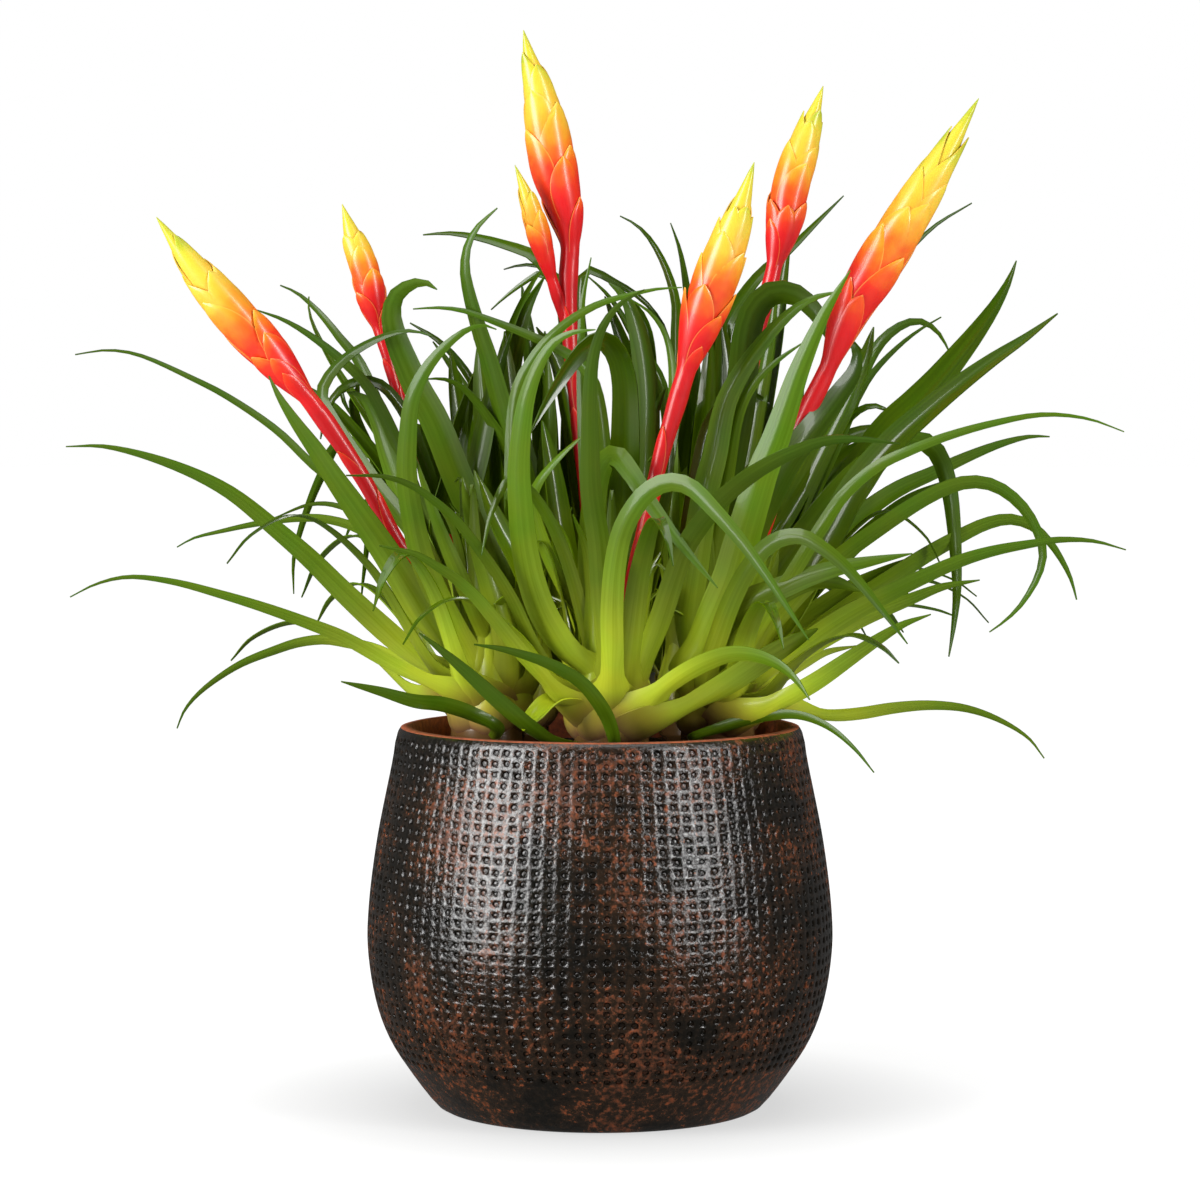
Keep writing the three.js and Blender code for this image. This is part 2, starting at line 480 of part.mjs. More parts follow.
// ---------- pieces ----------
function buildPot() {
  let body = lathe([
    [0, 0], ...POT_OUTLINE, [RIM_FLAT[0], POT_HEIGHT], [RIM_FLAT[1], POT_HEIGHT],
    ...POT_INSIDE, [0, POT_FLOOR],
  ], POT_SIDES);
  for (let i = 0; i < DRAIN_HOLES; i += 1) {
    const angle = ((i + 0.5) / DRAIN_HOLES) * 2 * Math.PI;
    const [x, y] = [DRAIN_RING * Math.cos(angle), DRAIN_RING * Math.sin(angle)];
    body = body.subtract(uprightCylinder(x, y, DRAIN_RADIUS, -1, POT_FLOOR + 1));
  }
  return body;
}

function lathe(profile, sides) {
  const turned = new THREE.LatheGeometry(profile.map(([r, z]) => new THREE.Vector2(r, z)), sides);
  turned.rotateX(Math.PI / 2);
  const solid = toSolid(turned);
  return solid.volume() > 0 ? solid : toSolid(flipped(mergeVertices(turned)));
}

function uprightCylinder(x, y, radius, low, high) {
  const cylinder = new THREE.CylinderGeometry(radius, radius, high - low, CROWN_SIDES);
  cylinder.rotateX(Math.PI / 2);
  cylinder.translate(x, y, (low + high) / 2);
  return toSolid(cylinder);
}

function buildMix() {
  const [surface, ...below] = POT_INSIDE.slice(1).map(([r, z]) => [r - GAP, z]);
  const walls = below.reverse();
  walls[0][1] += GAP;
  let mix = lathe([
    [0, POT_FLOOR + GAP], ...walls, [surface[0], MIX_TOP - MIX_DOME], [0, MIX_TOP],
  ], POT_SIDES);
  for (const { centre: [x, y] } of Object.values(PLANTS)) {
    mix = mix.subtract(uprightCylinder(x, y, STEM_RADIUS + GAP, MIX_TOP - HOLE_DEPTH, MIX_TOP + 10));
  }
  return mix;
}

function buildCrown(plant) {
  const [x, y] = PLANTS[plant].centre;
  const foot = MIX_TOP - HOLE_DEPTH + GAP;
  const crown = lathe([
    [0, foot], [STEM_RADIUS, foot], [STEM_RADIUS, MIX_TOP + GAP],
    [CROWN_RADIUS - 3, MIX_TOP + GAP], [CROWN_RADIUS, MIX_TOP + 10], [CROWN_RADIUS - 3, MIX_TOP + 26],
    [12, MIX_TOP + CROWN_HEIGHT], [0, MIX_TOP + CROWN_HEIGHT],
  ], CROWN_SIDES);
  return crown.translate(x, y, 0);
}

// A round stem along a curve, with its radius given along it.
function tapered(curve, radiusAt, grow) {
  const rings = [];
  let normal = new THREE.Vector3(1, 0, 0);
  for (let i = 0; i <= SPIKE_STEPS; i += 1) {
    const share = (0.995 * i) / SPIKE_STEPS;
    const at = curve.getPointAt(share);
    const along = curve.getTangentAt(share);
    normal = normal.clone().addScaledVector(along, -normal.dot(along)).normalize();
    const across = along.clone().cross(normal);
    const radius = radiusAt(share) + grow;
    const ring = [];
    for (let side = 0; side < SPIKE_SIDES; side += 1) {
      const angle = (side / SPIKE_SIDES) * 2 * Math.PI;
      ring.push(at.clone().addScaledVector(normal, Math.cos(angle) * radius)
        .addScaledVector(across, Math.sin(angle) * radius));
    }
    rings.push(ring);
  }
  return skinned(rings);
}

// Outer radius of the flower head as a share of its greatest, from its foot (0) to its tip (1).
function headSwell(share) {
  if (share <= 0) return 0;
  const rising = Math.pow(Math.sin(Math.min(share / 0.44, 1) * Math.PI / 2), 1.1);
  const falling = share < 0.44 ? 1 : Math.pow(Math.cos((share - 0.44) / 0.56 * Math.PI / 2), 0.95);
  return rising * falling;
}

function spikeCurve(plant, drawn, rooted) {
  const [x, y] = PLANTS[plant].centre;
  const points = drawn.map(placed);
  if (rooted) points.unshift(new THREE.Vector3(x, y, MIX_TOP - 12), new THREE.Vector3(x, y, MIX_TOP + 30));
  const curve = new THREE.CatmullRomCurve3(points, false, 'centripetal');
  curve.arcLengthDivisions = 400;
  return curve;
}

// One boat-shaped bract: it leaves the axis at `foot`, bellies out to the head's own outline
// and closes in again at its tip.
function bractSolid(curve, foot, length, angle, radiusAt, width, grow) {
  const total = curve.getLength();
  const rings = [];
  let normal = new THREE.Vector3(1, 0, 0);
  for (let i = 0; i <= BRACT_STEPS; i += 1) {
    const t = i / BRACT_STEPS;
    const share = Math.min(1, foot + (t * length) / total);
    const at = curve.getPointAt(share);
    const along = curve.getTangentAt(share);
    normal = normal.clone().addScaledVector(along, -normal.dot(along)).normalize();
    const across = along.clone().cross(normal);
    const out = normal.clone().multiplyScalar(Math.cos(angle)).addScaledVector(across, Math.sin(angle));
    const side = along.clone().cross(out);
    const belly = Math.sin(Math.min(1, t * 1.7) * Math.PI / 2);
    const reach = between(radiusAt(foot) * 0.55, radiusAt(share) + between(1.8, 0.6, t), belly) + grow;
    const half = (width / 2) * Math.pow(Math.sin(Math.PI * between(0.16, 1, t)), 0.75) + grow;
    const keel = at.clone().addScaledVector(out, reach);
    if (i === BRACT_STEPS) rings.push([keel]);
    else {
      rings.push([
        keel.clone().addScaledVector(side, -half).addScaledVector(out, -half * 0.62),
        keel.clone().addScaledVector(out, 0.4),
        keel.clone().addScaledVector(side, half).addScaledVector(out, -half * 0.62),
      ]);
    }
  }
  return skinned(rings, 2);
}

function headPieces(curve, { head, swell, scape, bracts, turn }, grow) {
  const total = curve.getLength();
  const start = 1 - head / total;
  const inHead = (share) => (share - start) / (1 - start);
  const radiusAt = (share) => Math.max(
    scape * (1 - 0.9 * eased(0.2, 1, inHead(share))),
    swell * headSwell(inHead(share)),
  );
  const coreRadius = (share) => (share < start ? scape : 0.66 * radiusAt(share) + 0.15);
  const pieces = [tapered(curve, coreRadius, grow)];
  for (let i = 0; i < bracts; i += 1) {
    const t = i / (bracts - 1);
    const foot = start + (1 - start) * between(-0.03, 0.8, t);
    const length = Math.min(between(0.31, 0.22, t) * head, (1 - foot) * total * 0.98);
    const middle = radiusAt(Math.min(1, foot + (0.5 * length) / total));
    const width = Math.max(5, 1.62 * middle);
    pieces.push(bractSolid(curve, foot, length, turn + i * SPIRAL, radiusAt, width, grow));
  }
  return pieces;
}

function buildSpike(plant, grow = 0) {
  const { spike, side, turn } = PLANTS[plant];
  const pieces = headPieces(spikeCurve(plant, spike, true), PLANTS[plant], grow);
  if (side) {
    const branch = { ...SIDE_SPIKE, turn: turn + 1 };
    pieces.push(...headPieces(spikeCurve(plant, side, false), branch, grow));
  }
  return tidied(wasm.Manifold.union(pieces));
}

// ---------- the clump ----------
const boxed = (solid) => ({ solid, box: solid.boundingBox() });
const boxesMeet = (a, b) => [0, 1, 2]
  .every((axis) => a.min[axis] <= b.max[axis] && b.min[axis] <= a.max[axis]);

function crosses(solid, others) {
  const box = solid.boundingBox();
  return others.some((other) => (
    boxesMeet(box, other.box) && solid.intersect(other.solid).volume() > CROSSING));
}

const named = Object.keys(PLANTS);
const spikes = new Map(named.map((plant) => [plant, buildSpike(plant)]));
const spikeRoom = new Map(named.map((plant) => [plant, buildSpike(plant, GAP + 0.2)]));
const crowns = new Map(named.map((plant) => [plant, buildCrown(plant)]));
const pot = buildPot();
const mix = buildMix();
const grown = new Map(named.map((plant) => [plant, []]));

// Grows a leaf, bent by the first step that clears everything. One that finds no room isn't grown.
function growLeaf(plant, leafAt) {
  const others = [boxed(pot), boxed(mix)];
  for (const name of named) {
    const spikeParts = spikeRoom.get(name);
    others.push(boxed(name === plant ? spikeParts.trimByPlane([0, 0, 1], MIX_TOP + 75) : spikeParts));
    if (name !== plant) others.push(boxed(crowns.get(name)), ...grown.get(name));
  }
  for (const bend of BENDS) {
    const leaf = leafAt(bend);
    if (!crosses(leafSolid(leaf, GAP), others)) {
      grown.get(plant).push(boxed(leafSolid(leaf)));
      return;
    }
  }
}

function bentLeaf(leaf, bend) {
  const shift = new THREE.Vector3(bend * 0.5, bend, 0);
  const points = leaf.points.map((point, i) => point.clone().addScaledVector(shift, eased(1, 4, i)));
  return { ...leaf, points };
}

for (const leaf of LEAVES) growLeaf(leaf[0], (bend) => drawnLeaf(leaf, bend));
for (const plant of named) {
  for (const leaf of ruledLeaves(plant)) growLeaf(plant, (bend) => bentLeaf(leaf, bend));
}

function buildRosette(plant) {
  const whole = wasm.Manifold.union([crowns.get(plant), ...grown.get(plant).map(({ solid }) => solid)]);
  return tidied(largestPiece(whole.subtract(spikeRoom.get(plant))));
}

// ---------- the scene graph ----------
const colours = {
  glaze: { color: 0x2a211c, roughness: 0.35, metalness: 0 },
  mix: { color: 0x33231a, roughness: 1, metalness: 0 },
  leaf: { color: 0x3f7a1e, roughness: 0.4, metalness: 0 },
  bract: { color: 0xe4451f, roughness: 0.35, metalness: 0 },
};

const bromeliad = new THREE.Group();

function addNode(name, solid, finish) {
  const mesh = new THREE.Mesh(toGeometry(solid), new THREE.MeshStandardMaterial(colours[finish]));
  mesh.name = name;
  bromeliad.add(mesh);
}

addNode('clay_pot', pot, 'glaze');
addNode('potting_mix', mix, 'mix');
for (const plant of named) {
  addNode(`rosette_${plant}`, buildRosette(plant), 'leaf');
  addNode(`flower_spike_${plant}`, spikes.get(plant), 'bract');
}

export default bromeliad;
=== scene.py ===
# Flaming sword bromeliad: a clump of six flowering rosettes in a dimpled, glazed clay pot.
# The frame gives the pot, the potting mix, the rosettes and the flower spikes as plain solids.
# Here each gets its finished surface, with the same sizes and places as those solids.
# Plans are in millimetres, +Z up, with the front of the plant at -Y; meshes are in metres.
import math

import bmesh
import bpy
import numpy as np
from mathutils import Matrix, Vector
from mathutils.bvhtree import BVHTree


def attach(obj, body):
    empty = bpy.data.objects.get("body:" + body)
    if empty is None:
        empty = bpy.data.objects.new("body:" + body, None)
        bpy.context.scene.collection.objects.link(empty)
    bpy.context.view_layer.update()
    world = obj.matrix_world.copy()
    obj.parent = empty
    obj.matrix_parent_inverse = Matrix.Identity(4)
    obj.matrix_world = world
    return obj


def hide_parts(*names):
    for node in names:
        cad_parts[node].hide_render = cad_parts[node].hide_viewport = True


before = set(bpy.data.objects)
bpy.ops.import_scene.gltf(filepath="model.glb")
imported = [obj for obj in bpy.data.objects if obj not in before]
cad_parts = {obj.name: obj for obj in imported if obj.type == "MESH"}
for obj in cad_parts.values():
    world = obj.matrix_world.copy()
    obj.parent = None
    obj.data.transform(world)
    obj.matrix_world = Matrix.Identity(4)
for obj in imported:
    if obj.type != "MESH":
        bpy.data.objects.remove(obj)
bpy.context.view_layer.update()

# ---------- the pot and the mix ----------
MM = 0.001
POT_HEIGHT = 267
POT_FLOOR = 14
DRAIN_HOLES = 3
DRAIN_RADIUS = 7
DRAIN_RING = 45  # how far the drainage holes stand from the pot's axis
DRILL_LENGTH, DRILL_MIDDLE = 40, 5  # the drill and the height of its middle when it cuts
# outer radius of the pot at each height, from the foot to the rim
POT_OUTLINE = [
    (109, 0), (113.5, 1.8), (136.5, 31), (148, 50), (157, 75), (162.6, 112), (162, 140),
    (156, 188), (144.5, 246), (142.3, 260), (140, 265.5),
]
# inner radius at each height, from the lip down to the floor
POT_INSIDE = [
    (130.5, 262), (132.5, 246), (144, 188), (150.5, 125), (145, 75), (124, 31), (112, POT_FLOOR),
]
RIM_FLAT = (137, 132)  # outer and inner radius of the flat on top of the rim
LIP = (139.2, 266.4)  # radius and height at the middle of the lip's rounding
LIP_FROM = 0.995  # where the lip starts, as a share of the way up the wall
GLAZE_FROM, GLAZE_TO = 1, 265.5  # the glaze covers the wall between these heights
FOOT_RINGS = [0, 1.5, 6, 14, 24, 34]  # rings of the plain foot, as lengths up the wall
INSIDE_RINGS = 26  # rings from the lip down to the floor inside
PIT_COLUMNS = 104  # pits pressed side by side round the wall
PIT_ROW = 7.3  # from one row of pits to the next
PIT_BAND = (37, 262.5)  # heights between which the wall is pitted
# radius and depth of each ring of a pit, and how dark the painted shade in it is there, from 0 to 1
PIT_RINGS = [(2.7, 0.04, 0.1), (2.15, 1.5, 1.0), (1.1, 0.8, 0.3)]
PIT_SIDES = 8  # two for each side of the wall's face round the pit
PIT_STRAY = (1.3, 1.2)  # how far a pit strays from its place, across and up
PIT_SIZES = (0.85, 1.12)  # least and greatest size of a pit against PIT_RINGS
PIT_SQUASH = (0.8, 1.05)  # least and greatest height of a pit for its width
MIX_TOP = 247
MIX_GAP = 0.5  # between the mix and the pot
MIX_CRUMBS = (-3.5, 1.5)  # how far the top of the mix dips and rises
MIX_RINGS = 24  # rings across the top of the mix
BARK_CHIPS = 170
CHIP_SIZES = (4, 3, 1.2), (13, 8, 3)  # the smallest and the largest chip
CHIP_REACH = 126  # how far from the pot's axis the chips lie
CHIP_LEAN = 0.3  # the most that a chip leans, as a slope

# ---------- the six plants ----------
# the short stem of a rosette: its height, and its radius at each share of that height
STEM_HEIGHT = 60
STEM_RADII = [0, 0.15, 0.5, 0.8, 1], [19, 26, 25, 15, 0.5]
# where a drawn leaf leaves the stem and clears it, as (out, up) from the foot of the stem
LEAF_FOOT = (9, 8)
LEAF_SHOULDER = (17, 24)
LOW_LEAF = 38  # a leaf drawn from below this height over the mix has no shoulder
SHEATH_WIDTH = 42
BURIED = 140  # how far out a leaf without a sheath is already when it comes into sight
BASAL_LEAVES = 10  # short leaves round the foot of each rosette
# how light each rosette's blades are, from 0 to 1
TONES = {
    "left_front": (0.35, 0.8), "left_back": (0.35, 0.85), "middle_back": (0.35, 0.85),
    "middle_front": (0.3, 0.8), "right_back": (0.35, 0.9), "right_front": (0.4, 0.95),
}
SHADED_INNER_TONES = (0.2, 0.8)  # the same for leaves inside the clump: random, but reaching darker than the outer blades as painted shade of the clump's inside
STEM_TONE = 0.3  # and for the stem
BLADE_SPREAD = 1.12  # a drawn blade's width over its width on the front elevation
BLADE_FULLNESS = 1.22  # the same for a blade that grows by rule
TURNED_AWAY = 0.6  # the most that a blade's face turns from the eye, in radians
BLADE_THICKNESS = 1.0
BRACT_THICKNESS = 0.7
SHEATH_END = (30, 74)  # how far out the sheath narrows to the strap
TAPER = 0.1  # how much a strap narrows on its way out, as a share of its width
ROLLED_TAPER = 0.5  # the same for a blade rolled by ROLLED degrees or more
ROLLED = 45
TIP_FULLNESS = 3  # the greater, the later and the more bluntly a blade's tip draws in
INNER_FULLNESS = 7  # the same for leaves inside the clump
RISE = (0.78, 0.24)  # how high sheath and strap are folded up, for half their width
FOLD = (1.8, 1.2)  # the form of that fold: 2 is a round trough and 1 a sharp V
SAG = 0.8  # half a blade's width stays under this share of the radius of its bend
# the frame's own solids: the length of a straight stretch of a blade, how many a blade has,
# and the depth by which a blade may have been bent to pass its neighbours
BLADE_STEP = 60
FEWEST_STEPS = 4
MOST_STEPS = 7
BENDS = [0, -6, 6, -12, 12, -18, 18, -26, 26, -36, 36, -48, 48, -62, 62]
BUILT_WITHIN = 2.5  # a ruled leaf that lies closer than this to the solid was built there
SPIRAL = 2.39996  # angle between one leaf and the next, in radians
FULLY_GREEN = 300  # how far out a leaf has its full colour
VEINS_APART = 1.9  # real veins are finer; these are as coarse as they need to be to show
VEIN_LENGTH = 160

# A drawn point is where the eye at EYE_DISTANCE in front sees it on the plane y = 0.
EYE_DISTANCE = 2800
EYE_HEIGHT = 510

# centre of the rosette, its spike from crown to tip as (across, height, depth), the length of
# the flower head, its greatest radius and the scape's; tips are where the bracts that show
# from the front end, as (across, height) on the front elevation
PLANTS = {
    "left_front": dict(
        centre=(-78, -18),
        spike=[(-92, 318, -20), (-143.5, 399, -26), (-164.5, 439, -29), (-199, 490, -33),
               (-225, 521, -36), (-254, 553, -39), (-283, 587, -43), (-308, 621, -48)],
        head=184, swell=15.4, scape=6,
        tips=[(-221, 514), (-229, 524), (-242, 524), (-233, 542), (-240, 557), (-276, 562),
              (-271, 584), (-286, 574), (-269, 588), (-296, 610)],
    ),
    "left_back": dict(
        centre=(-62, 58),
        spike=[(-76, 320, 60), (-118, 434, 66), (-140, 497, 70), (-149, 529, 72), (-154, 546, 73),
               (-164, 586, 75), (-173, 611, 76), (-179, 630, 77)],
        head=104, swell=11.9, scape=4.2,
        tips=[(-148, 561), (-169, 568), (-157, 585), (-167, 601), (-178, 608), (-167, 611)],
    ),
    "middle_back": dict(
        centre=(2, 80),
        spike=[(0, 320, 80), (-10, 430, 78), (-20, 529, 74), (-22, 576, 72), (-21, 602, 70),
               (-25, 628, 69), (-31, 650, 68), (-36, 676, 67), (-42, 706, 66), (-49, 732, 65),
               (-53, 750, 64)],
        head=178, swell=17, scape=6.2,
        tips=[(-13, 635), (-25, 663), (-20, 671), (-52, 681), (-30, 696), (-29, 700),
              (-48, 708), (-44, 727), (-54, 735)],
    ),
    "middle_front": dict(
        centre=(8, -52),
        spike=[(13, 320, -54), (28, 392, -60), (42, 452, -66), (54.6, 496, -71), (65, 532, -75),
               (78, 571, -79), (94, 616, -84), (107, 659, -89)],
        head=171, swell=15.6, scape=6,
        tips=[(71, 532), (84, 553), (59, 572), (73, 576), (100, 597), (71, 597), (86, 612),
              (83, 621), (94, 629), (102, 629)],
    ),
    "right_back": dict(
        centre=(68, 55),
        spike=[(74, 320, 58), (95, 450, 66), (108, 532, 72), (116, 565, 75), (122.5, 593, 77),
               (128, 618, 79), (132, 641, 81), (141, 670, 83), (154.7, 711.6, 86)],
        head=152, swell=14.6, scape=5.3,
        tips=[(117, 619), (143, 629), (130, 627), (117, 632), (143, 657), (130, 673),
              (150, 668), (146, 687), (141, 695), (153, 695)],
    ),
    "right_front": dict(
        centre=(82, -14),
        spike=[(90, 320, -16), (133, 462, -24), (158, 515, -27), (176, 560, -30), (186, 576, -31),
               (202, 602, -33), (213, 620, -35), (227, 643, -37), (243, 670, -39),
               (262.5, 703, -42)],
        head=238, swell=17, scape=6,
        tips=[(182, 567), (174, 580), (211, 593), (196, 617), (214, 629), (228, 630),
              (241, 644), (223, 656), (248, 665), (256, 676)],
    ),
}
# a short branch of the tallest spike
SIDE_SPIKE = dict(
    spike=[(-23, 545, 73), (-29, 564, 68), (-34, 580, 63), (-43, 611, 56), (-51, 636, 51),
           (-59, 657, 48)],
    head=100, swell=8.8, scape=4, tips=[(-51, 617), (-42, 627), (-48, 640)],
)
# Up the scape below a head's foot, as a share of the head, and the way round: its own bracts.
SCAPE_BRACTS = [(-0.1, -0.7), (-0.3, 0.9), (-0.52, -0.4), (-0.78, 1.2), (-1.05, -1.1)]
SCAPE_BRACTS_FROM = 0.25  # none stands lower than this share of the whole axis
# how long a bract is for its head, at the head's foot, at its tip and on the scape
BRACT_LENGTHS = (0.36, 0.27)
SCAPE_BRACT_LENGTH = 0.3
# how far round to each side a bract reaches, in radians, at the same three places
BRACT_SPREADS = (1.05, 1.55)
SCAPE_BRACT_SPREAD = 1.3
WIDEST = 0.44  # where a head is widest, as a share of its length
RIPE_FOOT, RIPE_TIP = -0.13, 0.89  # ripeness of the first and the last bract at its foot
RIPER_TIP = 0.54  # how much riper a bract's own tip is

# ---------- the studio and the camera ----------
LENS = 120.54
SENSOR = 36
LOOKS_DOWN = 3.174  # degrees below level
# each soft light in front: compass direction, width, height and height of its middle in
# metres, and watts
SOFTBOXES = {
    "left_softbox": (213, 1.05, 1.7, 0.95, 76),
    "right_softbox": (321, 0.32, 1.7, 1.05, 40),
}
SOFTBOX_DISTANCE = 2.0
SOFTBOX_TARGET = (0, 0, 0.4)
OVERHEAD_SIZE, OVERHEAD_WATTS = 2.2, 40
OVERHEAD_PLACE = (0, -0.2, 2.4)

